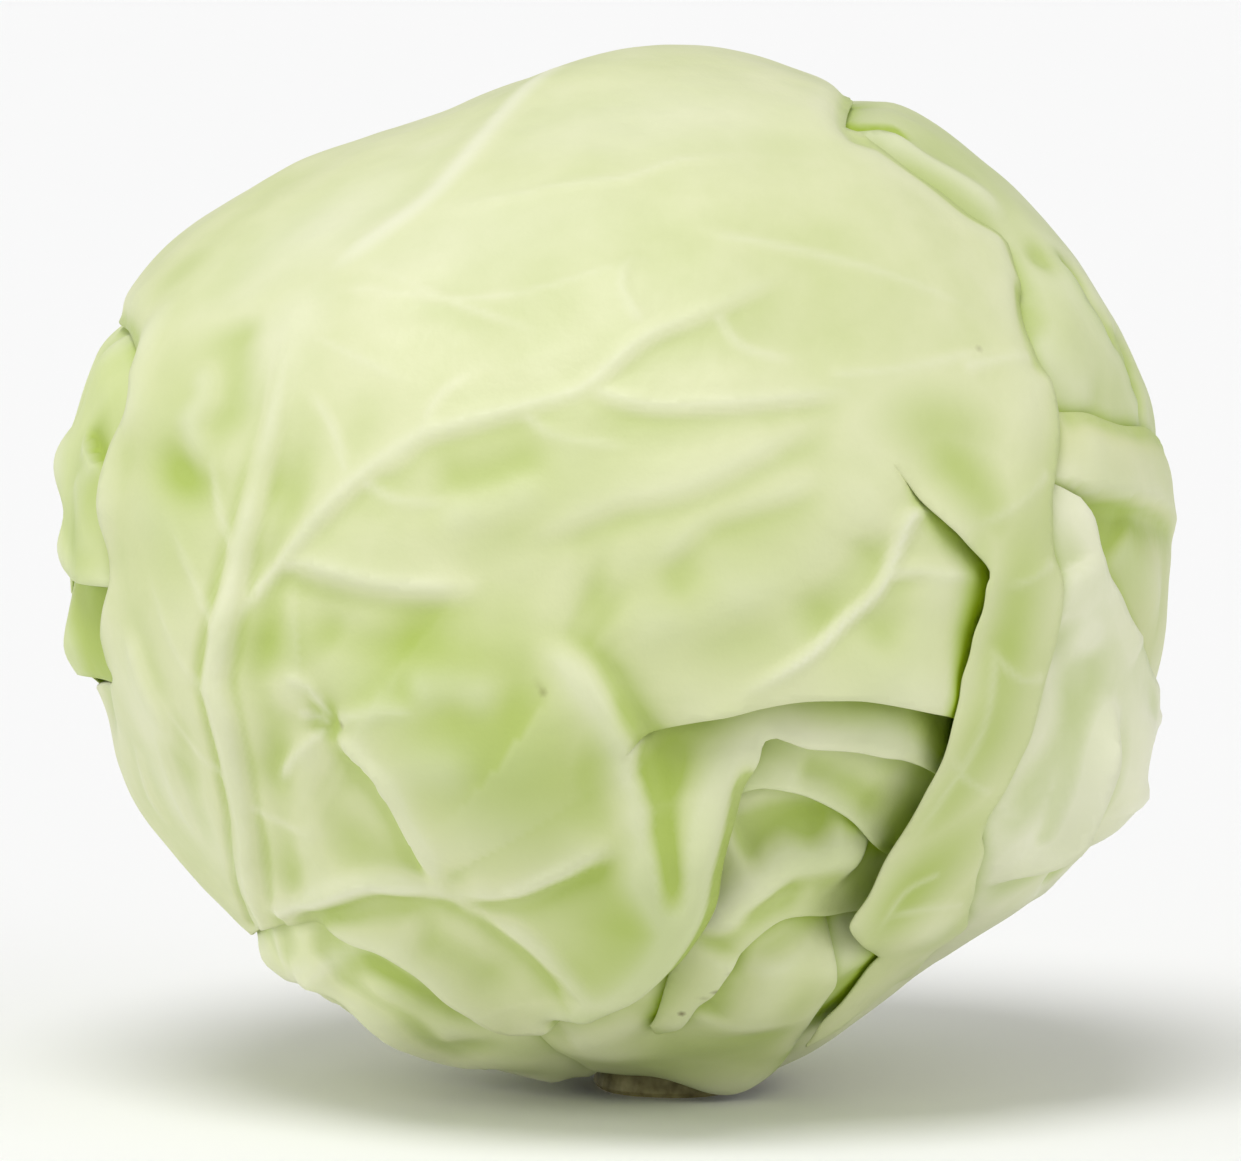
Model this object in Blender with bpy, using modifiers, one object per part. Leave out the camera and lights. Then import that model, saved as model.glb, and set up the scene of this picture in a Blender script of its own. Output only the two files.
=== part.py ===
"""Head of white cabbage: a dense heart on a cut stem, wrapped in folded outer leaves."""

import math

import bmesh
import bpy
import numpy as np
from mathutils import Vector
from mathutils.bvhtree import BVHTree
from mathutils.geometry import delaunay_2d_cdt

MM = 0.001

# Elevation drawing of the head's front: drawing units per millimetre, its centre, y runs down
UNITS_PER_MM = 5.65
DRAWING_CENTRE = (620.0, 580.0)
# The drawing plane leans back by this angle from upright
LEAN = math.radians(8.0)

# Outline radius of the head every 15 degrees anticlockwise from the right, in millimetres
OUTLINE_RADII = [
    97.0, 99.0, 98.6, 98.8, 97.3, 95.8, 92.8, 90.0, 90.8, 96.0, 102.0, 100.5,
    97.3, 94.5, 92.3, 91.5, 90.0, 90.6, 88.0, 92.0, 87.6, 89.6, 95.0, 97.3,
]
OUTLINE_HARMONICS = 9
FRONT_DEPTH = 90.0
BACK_DEPTH = 88.0
CHART_RADIUS = 92.0

# The head's centre over the middle of its footprint and the stem's flat face
HEAD_CENTRE = (0.9, 2.7, 90.6)

LEAF_THICKNESS = 1.5
LEAF_GAP = 1.1
TUCK_REACH = 11.0
MESH_STEP = 9.5
FRONT_MESH_STEP = 7.5
MESH_SCALE = 1.0
HEART_DEPTH = 11.0
UNDERSIDE_DEPTH = 84.0
CUT_HALF_WIDTH = 0.45
CUT_TAPER = 6.0

STEM_CENTRE = (9.0, 0.0)
STEM_RADIUS = 14.0
STEM_TOP_RADIUS = 12.0
STEM_HEIGHT = 11.0
STEM_SIDES = 28
STEM_CLEARANCE = 1.2
FLOOR_CLEARANCE = 1.0

# Side veins along a midrib: place of the first and the span they share, how far one side's run
# behind the other's, how they spread, lean and bend toward the tip, and how they shorten
VEIN_FIRST = 0.12
VEIN_SPAN = 0.7
VEIN_STAGGER = 0.5
VEIN_SPREAD = 0.75
VEIN_LEAN = 0.45
VEIN_BEND = 0.3
VEIN_TAPER = 0.45
VEIN_STEP = 5.0

RIGHT_AXIS = np.array([1.0, 0.0, 0.0])
UP_AXIS = np.array([0.0, math.sin(LEAN), math.cos(LEAN)])
FRONT_AXIS = np.array([0.0, -math.cos(LEAN), math.sin(LEAN)])
AXES = np.array([RIGHT_AXIS, UP_AXIS, FRONT_AXIS])


def outline_radius(clock):
    """Radius of the head's outline in the drawing at a clock angle."""
    turn = 2.0 * math.pi * np.arange(len(OUTLINE_RADII)) / len(OUTLINE_RADII)
    values = np.array(OUTLINE_RADII)
    total = np.full(np.shape(clock), values.mean())
    for k in range(1, OUTLINE_HARMONICS + 1):
        total = total + 2.0 * (values * np.cos(k * turn)).mean() * np.cos(k * clock)
        total = total + 2.0 * (values * np.sin(k * turn)).mean() * np.sin(k * clock)
    return total


def form_radius(directions):
    """Distance from the centre to the head's smooth form along unit directions."""
    side = np.hypot(directions[:, 0], directions[:, 1])
    clock = np.arctan2(directions[:, 1], directions[:, 0])
    depth = np.where(directions[:, 2] > 0.0, FRONT_DEPTH, BACK_DEPTH)
    reach = outline_radius(clock)
    return 1.0 / np.sqrt((side / reach) ** 2 + (directions[:, 2] / depth) ** 2)


def unit(vectors):
    """Vectors of length one."""
    return vectors / np.linalg.norm(vectors, axis=-1, keepdims=True)


def seen(x, y):
    """Direction of a point drawn on the head's front."""
    across = (x - DRAWING_CENTRE[0]) / UNITS_PER_MM
    up = (DRAWING_CENTRE[1] - y) / UNITS_PER_MM
    reach = float(outline_radius(math.atan2(up, across)))
    part = min(math.hypot(across, up) / reach, 0.998)
    scale = part * reach / max(math.hypot(across, up), 1e-6)
    depth = FRONT_DEPTH * math.sqrt(1.0 - part * part)
    return unit(np.array([across * scale, up * scale, depth]))


def hidden(clock, tilt):
    """Direction at a clock angle, tilted from the front by an angle, both in degrees."""
    a = math.radians(clock)
    t = math.radians(tilt)
    return np.array([math.sin(t) * math.cos(a), math.sin(t) * math.sin(a), math.cos(t)])


def under(angle, radius):
    """Direction of a point on the underside, by angle and distance round the stem."""
    a = math.radians(angle)
    across = STEM_CENTRE[0] + radius * math.cos(a)
    back = STEM_CENTRE[1] + radius * math.sin(a)
    return unit(AXES @ np.array([across, back, -UNDERSIDE_DEPTH]))


def directions_of(points):
    """Directions of points, of which a drawn one is a pair of drawing coordinates."""
    return np.array([seen(*p) if isinstance(p, tuple) else p for p in points])


class Chart:
    """Flat map of the head round one pole, in millimetres along the head."""

    def __init__(self, pole):
        self.pole = unit(pole)
        helper = np.array([0.0, 1.0, 0.0])
        if abs(self.pole[1]) > 0.8:
            helper = np.array([0.0, 0.0, 1.0])
        self.across = unit(np.cross(helper, self.pole))
        self.up = np.cross(self.pole, self.across)

    def flat(self, directions):
        """Flat positions of directions."""
        along = np.clip(directions @ self.pole, -1.0, 1.0)
        x = directions @ self.across
        y = directions @ self.up
        angle = np.arccos(along)
        size = np.maximum(np.hypot(x, y), 1e-9)
        return np.stack([x / size, y / size], axis=1) * (angle * CHART_RADIUS)[:, None]

    def round(self, flat):
        """Directions of flat positions."""
        length = np.linalg.norm(flat, axis=1)
        angle = length / CHART_RADIUS
        side = flat / np.maximum(length, 1e-9)[:, None]
        across = side[:, :1] * self.across + side[:, 1:] * self.up
        return np.sin(angle)[:, None] * across + np.cos(angle)[:, None] * self.pole


def curve(points, step):
    """Evenly spaced points on a smooth curve through flat points, ends kept."""
    points = np.asarray(points, float)
    if len(points) > 2:
        ends = np.vstack([2.0 * points[0] - points[1], points, 2.0 * points[-1] - points[-2]])
        t = np.linspace(0.0, 1.0, 12, endpoint=False)[:, None]
        dense = []
        for a, b, c, d in zip(ends[:-3], ends[1:-2], ends[2:-1], ends[3:]):
            dense.append(
                0.5 * (2 * b + (c - a) * t + (2 * a - 5 * b + 4 * c - d) * t**2
                       + (3 * b - a - 3 * c + d) * t**3)
            )
        points = np.vstack(dense + [points[-1:]])
    run = np.concatenate([[0.0], np.cumsum(np.linalg.norm(np.diff(points, axis=0), axis=1))])
    count = max(1, round(run[-1] / step))
    stops = np.linspace(0.0, run[-1], count + 1)
    return np.stack([np.interp(stops, run, points[:, k]) for k in range(2)], axis=1)


def measure(points, line):
    """Distance of points to a line, position along it from 0 to 1, and side (left positive)."""
    best = np.full(len(points), 1e9)
    along = np.zeros(len(points))
    side = np.ones(len(points))
    lengths = np.linalg.norm(np.diff(line, axis=0), axis=1)
    run = np.concatenate([[0.0], np.cumsum(lengths)])
    for k, (a, b) in enumerate(zip(line[:-1], line[1:])):
        step = b - a
        t = np.clip((points - a) @ step / max(step @ step, 1e-9), 0.0, 1.0)
        away = points - (a + t[:, None] * step)
        far = np.hypot(away[:, 0], away[:, 1])
        cross = step[0] * (points[:, 1] - a[1]) - step[1] * (points[:, 0] - a[0])
        nearer = far < best - 1e-7
        best = np.where(nearer, far, best)
        along = np.where(nearer, (run[k] + t * lengths[k]) / run[-1], along)
        side = np.where(nearer, np.where(cross >= 0.0, 1.0, -1.0), side)
    return best, along, side


def inside(points, loop):
    """Whether points lie inside a closed flat loop."""
    within = np.zeros(len(points), bool)
    for a, b in zip(loop, np.roll(loop, -1, axis=0)):
        crosses = (a[1] > points[:, 1]) != (b[1] > points[:, 1])
        rise = b[1] - a[1] if abs(b[1] - a[1]) > 1e-12 else 1e-12
        reach = (b[0] - a[0]) * (points[:, 1] - a[1]) / rise + a[0]
        within ^= crosses & (points[:, 0] < reach)
    return within


def ease(value, low, high):
    """Smooth step from 0 at low to 1 at high."""
    t = np.clip((value - low) / (high - low), 0.0, 1.0)
    return t * t * (3.0 - 2.0 * t)


def fade(along, start, end):
    """Strength along a line that grows from its start and dies off at its end."""
    rise = ease(along, 0.0, start) if start > 0.0 else 1.0
    fall = 1.0 - ease(along, 1.0 - end, 1.0) if end > 0.0 else 1.0
    return rise * fall


def rib(points, line, height, width, start=0.15, end=0.3):
    """Rounded rib, or a groove where the height is negative."""
    far, along, side = measure(points, line)
    return height * np.exp(-((far / width) ** 2)) * fade(along, start, end)


def fold(points, line, lift, drop, lift_reach, drop_reach, start=0.1, end=0.1, width=1.0):
    """Fold along a line: lifted lip on its left, dropped ground on its right."""
    far, along, side = measure(points, line)
    left = lift * np.exp(-far / lift_reach)
    right = -drop * np.exp(-far / drop_reach)
    signed = far * side
    share = ease(signed, -width, 0.0)
    return (share * left + (1.0 - share) * right) * fade(along, start, end)


def mound(points, centre, radius, height, stretch=1.0, turn=0.0):
    """Rounded swelling, or a dent where the height is negative."""
    a = math.radians(turn)
    away = points - centre
    x = (away[:, 0] * math.cos(a) + away[:, 1] * math.sin(a)) / (radius * stretch)
    y = (-away[:, 0] * math.sin(a) + away[:, 1] * math.cos(a)) / radius
    return height * np.exp(-(x * x + y * y))


def ripple(directions, seed, size, height):
    """Soft irregular waviness from a few random plane waves."""
    rng = np.random.default_rng(seed)
    total = np.zeros(len(directions))
    for _ in range(7):
        wave = unit(rng.normal(size=3)) * rng.uniform(0.7, 1.4) * 2.0 * math.pi * CHART_RADIUS / size
        total = total + np.sin(directions @ wave + rng.uniform(0.0, 2.0 * math.pi))
    return height * total / 3.0


class Leaf:
    """One leaf: its outline, its relief and how its surface lies on the head."""

    def __init__(self, name, pole, step=MESH_STEP, sink=0.0, thickness=LEAF_THICKNESS):
        self.name = name
        self.step = step * MESH_SCALE
        self.sink = sink
        self.thickness = thickness
        self.chart = Chart(directions_of([pole])[0])
        self.edges = []
        self.creases = []
        self.terms = []
        self.shifts = []

    def line(self, points):
        """A smooth flat line through drawn points, at this leaf's mesh spacing."""
        return curve(self.chart.flat(directions_of(points)), self.step)

    def fine(self, points):
        """A smooth flat line for measuring reliefs."""
        return curve(self.chart.flat(directions_of(points)), 2.5)

    def spot(self, x, y):
        """Flat position of one drawn point."""
        return self.chart.flat(directions_of([(x, y)]))[0]

    def outline(self, edges):
        """Set the outline: edges through drawn points, or ready flat lines."""
        self.edges = [edge if isinstance(edge, np.ndarray) else self.line(edge) for edge in edges]

    def beside(self, line, amount):
        """A flat line moved to its left, less and less towards its end."""
        ahead = unit(np.gradient(line, axis=0))
        aside = np.stack([-ahead[:, 1], ahead[:, 0]], axis=1)
        left = np.linalg.norm(line - line[-1], axis=1)
        return line + aside * (amount * ease(left, 0.0, CUT_TAPER))[:, None]

    def loop(self):
        """The closed outline, each corner once."""
        return np.vstack([edge[:-1] for edge in self.edges])

    def rib(self, points, height, width, start=0.15, end=0.3, crease=False):
        """A rib or groove along drawn points."""
        line = points if isinstance(points, np.ndarray) else self.fine(points)
        self.terms.append(lambda flat: rib(flat, line, height, width, start, end))
        if crease:
            self.creases.append(self.line(points))

    def fold(self, points, lift, drop, lift_reach, drop_reach, start=0.1, end=0.1, width=1.0):
        """A fold along drawn points, their line kept as edges, or along a ready flat line."""
        ready = isinstance(points, np.ndarray)
        line = points if ready else self.fine(points)
        self.terms.append(
            lambda flat: fold(flat, line, lift, drop, lift_reach, drop_reach, start, end, width)
        )
        if not ready:
            self.creases.append(self.line(points))

    def mound(self, x, y, radius, height, stretch=1.0, turn=0.0):
        """A swelling or dent at a drawn point."""
        centre = self.spot(x, y)
        self.terms.append(lambda flat: mound(flat, centre, radius, height, stretch, turn))

    def margin(self, points, height, reach, push=0.0, start=0.0, end=0.0, side=0.0, left_of=None):
        """Lift, drop or tuck sideways the ground near a margin, on one side of it or on both."""
        line = points if isinstance(points, np.ndarray) else self.fine(points)

        def near(flat):
            far, along, hand = measure(flat, line)
            strength = np.exp(-((far / reach) ** 2)) * fade(along, start, end)
            kept = hand * side >= 0.0
            if left_of is not None:
                kept &= measure(flat, left_of)[2] >= 0.0
            return np.where(kept, strength, 0.0)

        self.terms.append(lambda flat: height * near(flat))
        if push:
            ahead = line[-1] - line[0]
            across = np.array([-ahead[1], ahead[0]]) / np.linalg.norm(ahead)
            self.shifts.append(lambda flat: (push * near(flat))[:, None] * across)

    def relief(self, flat):
        """Height of the leaf's own shape over the smooth head."""
        return sum((term(flat) for term in self.terms), np.zeros(len(flat)))

    def sheet(self, above):
        """Flat mesh of the leaf and the direction and distance of each of its points."""
        loop = self.loop()
        low = loop.min(axis=0)
        high = loop.max(axis=0)
        row = self.step * math.sqrt(3.0) / 2.0
        rows = np.arange(low[1], high[1], row)
        grid = [
            (x + (k % 2) * self.step / 2.0, y)
            for k, y in enumerate(rows)
            for x in np.arange(low[0], high[0], self.step)
        ]
        grid = np.array(grid)
        closed = np.vstack([loop, loop[:1]])
        clear = inside(grid, loop) & (measure(grid, closed)[0] > 0.62 * self.step)
        creases = []
        for crease in self.creases:
            kept = inside(crease, loop) & (measure(crease, closed)[0] > 0.45 * self.step)
            for other in creases:
                kept &= measure(crease, other)[0] > 0.5 * self.step
            run = crease[kept]
            if len(run) > 1 and np.all(np.diff(np.flatnonzero(kept)) == 1):
                clear &= measure(grid, run)[0] > 0.5 * self.step
                creases.append(run)
        grid = grid[clear]
        points = [*loop]
        edges = [(k, (k + 1) % len(loop)) for k in range(len(loop))]
        for run in creases:
            first = len(points)
            points += [*run]
            edges += [(first + k, first + k + 1) for k in range(len(run) - 1)]
        points += [*grid]
        made = delaunay_2d_cdt(
            [Vector(p) for p in points], edges, [list(range(len(loop)))], 1, 1e-5
        )
        flat = np.array([tuple(p) for p in made[0]])
        faces = np.array([tuple(f) for f in made[2]])
        moved = flat + sum((shift(flat) for shift in self.shifts), np.zeros_like(flat))
        directions = self.chart.round(moved)
        height = form_radius(directions) + self.relief(flat) - self.sink
        for other in above:
            height = height - other.cover(directions)
        return flat, faces, directions, above_level(directions, height, FLOOR_CLEARANCE)

    def cover(self, directions):
        """How far this leaf presses down what lies under it."""
        flat = self.chart.flat(directions)
        loop = self.loop()
        far = measure(flat, np.vstack([loop, loop[:1]]))[0]
        signed = np.where(inside(flat, loop), far, -far)
        return (self.thickness + LEAF_GAP) * ease(signed, -TUCK_REACH, 1.0)


def above_level(directions, height, level):
    """Heights cut back so that nothing reaches down below a level over the stem's flat face."""
    down = -(directions @ AXES)[:, 2]
    room = np.where(down > 0.1, (HEAD_CENTRE[2] - level) / np.maximum(down, 0.1), 1e6)
    return np.minimum(height, room)


def neighbour_mean(values, faces):
    """Mean of each point's neighbours."""
    total = np.zeros(len(values))
    count = np.zeros(len(values))
    for a, b in ((0, 1), (1, 2), (2, 0)):
        for i, j in ((a, b), (b, a)):
            np.add.at(total, faces[:, i], values[faces[:, j]])
            np.add.at(count, faces[:, i], 1.0)
    return total / np.maximum(count, 1.0)


def point_normals(points, faces):
    """Outward normals of a mesh's points."""
    a, b, c = (points[faces[:, k]] for k in range(3))
    normal = np.cross(b - a, c - a)
    total = np.zeros_like(points)
    for k in range(3):
        np.add.at(total, faces[:, k], normal)
    return unit(total)


def tree_of(points, faces):
    """Search tree over a mesh."""
    return BVHTree.FromPolygons([Vector(p) for p in points], [tuple(f) for f in faces.tolist()])


def first_hit(tree, direction):
    """Distance and face of the first surface met going out from the head's centre."""
    hit = tree.ray_cast(Vector((0.0, 0.0, 0.0)), Vector(direction))
    return (None, None) if hit[0] is None else (hit[3], hit[2])


def settle(directions, height, faces, covers, gap, rounds=4, spread=2):
    """Press a surface down until it clears the inner faces of everything over it."""
    height = height.copy()
    for _ in range(rounds):
        need = np.zeros(len(height))
        for tree, points in covers:
            for k, direction in enumerate(directions):
                far, face = first_hit(tree, direction)
                if far is not None:
                    need[k] = max(need[k], height[k] + gap - far)
            own = tree_of(directions * height[:, None], faces)
            reach = np.linalg.norm(points, axis=1)
            for point, far in zip(points, reach):
                met, face = first_hit(own, point / far)
                if met is not None and met + gap > far:
                    for corner in faces[face]:
                        need[corner] = max(need[corner], met + gap - far)
        if need.max() < 0.01:
            break
        press = need
        for _ in range(spread):
            press = np.maximum(need, neighbour_mean(press, faces))
        height -= press
    return height


def front_leaf():
    """The wrapper leaf with its midrib at the left and its folded margin at the right."""
    leaf = Leaf("leaf_front", (560, 520), step=FRONT_MESH_STEP)
    strap_low = leaf.line([(849, 908), (867, 883), (884, 852), (900, 820), (915, 788), (932, 754),
                           (943, 722)])
    strap_high = leaf.line([(943, 722), (951, 697), (954, 676), (961, 654), (965, 632), (972, 610),
                            (974, 587), (977, 569), (953, 541), (934, 523), (915, 503), (900, 482),
                            (887, 465)])
    strap = np.vstack([strap_low, strap_high[1:]])
    overhang = leaf.line([(939, 724), (900, 708), (860, 699), (828, 697), (786, 700), (742, 709),
                          (694, 720), (661, 731), (622, 751)])
    strap_right = leaf.beside(strap, -CUT_HALF_WIDTH)
    strap_left = leaf.beside(strap_high, CUT_HALF_WIDTH)
    over_low = leaf.beside(overhang, CUT_HALF_WIDTH)
    over_top = leaf.beside(overhang, -CUT_HALF_WIDTH)
    band_end = leaf.chart.flat(directions_of([(917, 774)]))[0]
    leaf.outline([
        [(265, 925), (303, 930), (349, 941), (380, 949), (406, 962), (429, 980), (462, 1007),
         (487, 1023), (512, 1033), (541, 1030), (574, 1024), (600, 1018)],
        [(600, 1018), (641, 994), (663, 974), (680, 953), (694, 931), (706, 908), (714, 888),
         (721, 860), (736, 822), (747, 793), (758, 762), (765, 749), (777, 745)],
        [(777, 745), (790, 747), (809, 751), (860, 754), (900, 765), (917, 774)],
        curve([band_end, over_low[0]], leaf.step),
        over_low,
        over_top[::-1],
        curve([over_top[0], strap_left[1]], leaf.step),
        strap_left[1:],
        strap_right[::-1],
        curve([strap_right[0], *leaf.chart.flat(directions_of([(846, 921), (856, 937), (880, 958)]))],
              leaf.step),
        [(880, 958), (862, 981), (843, 1003), (822, 1026), (806, 1046)],
        [(806, 1046), (839, 1024), (880, 1001), (918, 976), (948, 943), (962, 925)],
        [(962, 925), (971, 888), (980, 855), (979, 836), (984, 815)],
        [(984, 815), (1008, 765), (1021, 739), (1031, 712), (1040, 681), (1048, 652), (1054, 619),
         (1058, 581), (1051, 552), (1046, 504), (1052, 472), (1055, 414), (1047, 386),
         (1032, 353), (1029, 310), (1026, 277), (1012, 239)],
        [(1012, 239), (1000, 226), (969, 205), (923, 172), (880, 146), (846, 124)],
        [(846, 124), hidden(66, 96), hidden(80, 110), hidden(102, 118), hidden(125, 116),
         hidden(146, 108)],
        [hidden(146, 108), hidden(152, 92), (122, 330), (137, 372), (135, 407), (117, 448),
         (111, 497), (108, 545), (109, 590), (104, 637)],
        [(104, 637), (108, 661), (111, 683), hidden(192.5, 96), hidden(203, 99), hidden(216, 98),
         hidden(223, 94), (265, 925)],
    ])
    midrib = [(265, 925), (253, 891), (242, 819), (236, 776), (229, 719), (221, 681), (225, 652),
              (233, 600), (241, 545), (254, 490), (270, 425), (287, 355), (304, 290)]
    leaf.rib(midrib, 1.2, 2.6, start=0.0, end=0.6, crease=True)
    leaf.rib([(x - 17, y) for x, y in midrib], -0.8, 1.2, start=0.0, end=0.6)
    leaf.rib([(x + 15, y) for x, y in midrib], -0.6, 1.4, start=0.0, end=0.6)
    leaf.rib([(x + 38, y) for x, y in midrib], -1.2, 5.0, start=0.0, end=0.5)
    leaf.rib([(304, 290), (350, 262), (400, 226), (438, 198), (476, 157), (510, 116), (553, 78)],
             0.7, 4.2, start=0.2, end=0.0)
    for points, lift, drop, lift_reach, drop_reach, width in (
        ([(244, 598), (273, 569), (360, 478), (398, 459), (424, 437), (472, 424), (519, 411),
          (583, 392)], 0.4, 0.7, 9.0, 12.0, 3.8),
        ([(273, 569), (303, 563), (376, 580), (443, 586), (493, 583)], 0.7, 1.2, 7.0, 12.0, 5.5),
        ([(513, 539), (551, 526), (590, 510), (625, 498), (679, 488), (727, 466), (790, 432),
          (838, 412)], 0.5, 0.9, 8.0, 11.0, 5.0),
        ([(637, 565), (666, 549), (704, 517), (743, 504), (790, 488), (822, 463)],
         0.4, 0.8, 7.0, 9.0, 4.6),
        ([(583, 392), (647, 341), (711, 314), (790, 275)], 0.25, 0.4, 8.0, 10.0, 3.2),
        ([(583, 392), (647, 408), (711, 407), (774, 402), (860, 392)], 0.3, 0.6, 8.0, 10.0, 3.4),
        ([(652, 910), (645, 860), (637, 814), (633, 787), (624, 766), (624, 747), (611, 727),
          (593, 692), (567, 663), (523, 645)], 2.0, 2.6, 11.0, 12.0, 6.0),
        ([(334, 726), (352, 743), (382, 765), (400, 789), (423, 830), (443, 868), (455, 880)],
         1.8, 2.6, 10.0, 12.0, 4.5),
        ([(268, 913), (307, 903), (358, 884), (393, 882), (446, 884), (480, 905), (505, 920),
          (543, 946), (580, 980), (594, 1008)], 0.4, 2.4, 6.0, 11.0, 6.0),
        ([(455, 886), (508, 884), (552, 862), (584, 844), (622, 822)], 1.2, 1.6, 8.0, 10.0, 4.0),
    ):
        leaf.fold(points, lift, drop, lift_reach, drop_reach, start=0.2, end=0.25, width=width)
    for points, height, width in (
        ([(229, 633), (273, 569), (360, 478), (424, 437), (519, 411), (583, 392), (647, 341),
          (711, 314), (790, 275)], 0.5, 1.5),
        ([(583, 392), (647, 408), (711, 407), (774, 402), (860, 392)], 0.35, 1.4),
        ([(446, 216), (489, 208), (553, 193), (624, 183), (681, 165), (778, 165)], 0.3, 1.3),
        ([(273, 569), (303, 563), (376, 580), (443, 586), (493, 583)], 0.4, 1.6),
        ([(882, 579), (899, 572), (922, 573), (963, 581)], 0.4, 1.4),
        ([(921, 510), (909, 512), (898, 520), (894, 533), (888, 558), (880, 581), (865, 600),
          (846, 615), (800, 655), (720, 700)], 1.0, 1.25),
        ([(953, 371), (1032, 357)], 0.3, 1.5),
        ([(330, 720), (314, 689), (297, 679), (279, 676)], 0.6, 1.3),
        ([(328, 722), (311, 715), (294, 711)], 0.5, 1.4),
        ([(326, 728), (300, 751), (282, 771), (273, 789)], 0.6, 1.4),
        ([(336, 718), (376, 708), (400, 704), (440, 704)], 0.5, 1.8),
        ([(334, 726), (352, 743), (382, 765), (400, 789), (423, 830), (443, 868), (455, 880)],
         0.6, 2.0),
        ([(268, 913), (306, 905), (358, 884), (393, 882), (446, 884), (480, 905)], 1.1, 2.6),
        ([(508, 884), (552, 862), (584, 844)], 0.6, 1.7),
        ([(300, 300), (285, 380), (262, 470)], 0.4, 2.0),
    ):
        leaf.rib(points, height, width, start=0.1, end=0.3)
    for points, height, width in (
        ([(480, 905), (505, 920), (543, 946), (580, 980), (594, 1008)], 0.8, 3.0),
        ([(203, 352), (208, 396), (193, 427), (208, 486)], 0.9, 3.2),
        ([(268, 913), (306, 905), (358, 884), (393, 882), (446, 884), (480, 905)], 1.2, 6.0),
        ([(400, 930), (460, 960), (520, 1000)], -1.2, 6.0),
        ([(640, 800), (660, 850), (668, 900)], -0.8, 5.0),
        ([(290, 690), (285, 740), (255, 800)], -0.8, 5.0),
        ([(126, 618), (136, 645), (162, 710), (199, 780)], 1.0, 3.0),
        ([(160, 720), (175, 780), (205, 850)], 0.7, 2.2),
        ([(138, 740), (150, 790), (175, 830)], 0.7, 2.4),
        ([(880, 520), (868, 560), (840, 590), (780, 640)], -1.4, 6.0),
        ([(905, 560), (890, 610), (850, 650)], -0.8, 5.0),
        ([(290, 935), (340, 912), (400, 912), (460, 940)], -1.4, 5.5),
        ([(175, 700), (190, 790), (225, 870)], -1.2, 5.0),
        ([(560, 590), (640, 600), (720, 560)], -1.2, 8.0),
        ([(250, 520), (330, 440), (420, 400)], -0.9, 8.0),
        ([(240, 300), (235, 380), (225, 470)], -1.6, 7.0),
        ([(420, 480), (500, 470), (570, 440)], -0.8, 5.0),
        ([(430, 520), (500, 505), (560, 480)], 0.7, 4.0),
        ([(600, 620), (700, 610), (800, 570)], 0.8, 5.0),
        ([(300, 620), (380, 640), (470, 625)], -1.0, 5.0),
        ([(410, 690), (460, 680), (520, 700)], 0.9, 4.0),
        ([(370, 790), (430, 760), (500, 760)], 0.7, 5.0),
    ):
        leaf.rib(points, height, width, start=0.25, end=0.35)
    leaf.rib([(199, 283), (160, 330), (144, 371), (136, 407), (118, 445), (112, 497), (109, 560)],
             1.5, 4.5, start=0.3, end=0.2)
    leaf.rib([(1020, 300), (1024, 400), (1020, 500), (1030, 600), (1010, 690), (960, 800), (905, 880)],
             0.8, 7.0)
    for points in (
        [(1045, 470), (1015, 500), (985, 520), (950, 528)],
        [(1050, 560), (1020, 580), (990, 585)],
        [(1040, 675), (1010, 676), (975, 640)],
        [(985, 790), (955, 772), (935, 740)],
        [(990, 640), (975, 720), (935, 790), (890, 860)],
        [(960, 900), (920, 905), (870, 915)],
        [(940, 870), (900, 890), (870, 930)],
        [(820, 380), (900, 372), (1000, 350)],
        [(700, 240), (820, 262), (930, 300), (1000, 330)],
        [(300, 330), (380, 370), (420, 390)],
        [(330, 290), (460, 300), (560, 290), (700, 250)],
        [(360, 262), (420, 290), (520, 330), (560, 350)],
        [(215, 700), (180, 640), (150, 560)],
        [(225, 640), (190, 560), (165, 500)],
        [(236, 560), (215, 500), (208, 440)],
        [(228, 780), (190, 740), (165, 690)],
        [(240, 800), (290, 830), (330, 835)],
        [(350, 480), (330, 420), (300, 380)],
        [(424, 437), (440, 400), (480, 370)],
        [(519, 411), (560, 440), (640, 450)],
        [(360, 478), (400, 500), (470, 505)],
        [(640, 330), (620, 290), (640, 250)],
        [(711, 314), (740, 350), (800, 365)],
    ):
        leaf.rib(points, 0.2, 1.3, start=0.1, end=0.4)
    leaf.mound(470, 750, 18.0, 4.0, stretch=1.35, turn=-35.0)
    leaf.mound(325, 721, 4.5, -2.2)
    leaf.mound(350, 840, 9.0, -2.0, stretch=1.5, turn=-60.0)
    leaf.mound(660, 770, 7.0, -2.0)
    leaf.mound(700, 610, 22.0, 1.6, stretch=1.6, turn=20.0)
    leaf.mound(180, 472, 7.0, -1.8, stretch=1.4, turn=-30.0)
    leaf.mound(100, 702, 10.0, -3.0)
    leaf.mound(690, 860, 15.0, 3.4, stretch=1.6, turn=65.0)
    leaf.mound(600, 930, 16.0, 2.4, stretch=1.4, turn=60.0)
    leaf.mound(925, 925, 9.0, 2.0)
    leaf.mound(760, 250, 30.0, 0.8, stretch=1.5)
    leaf.margin([hidden(146, 108), hidden(152, 92), (122, 330), (137, 372), (135, 407)], -1.9, 4.0,
                end=0.3)
    leaf.margin(overhang, 1.8, 10.0, end=0.25, side=-1.0, left_of=strap)
    leaf.margin(overhang, -4.2, 9.0, push=-4.0, end=0.3, side=1.0, left_of=strap)
    leaf.margin([(917, 774), (939, 724)], -1.4, 6.0, push=-5.0, left_of=strap)
    rolled = [(541, 1030), (574, 1024), (600, 1018), (641, 994), (663, 974), (680, 953), (694, 931),
              (706, 908), (714, 888), (721, 860), (736, 822), (747, 793), (759, 758)]
    leaf.margin(rolled, -6.4, 3.4, start=0.1, end=0.1)
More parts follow.
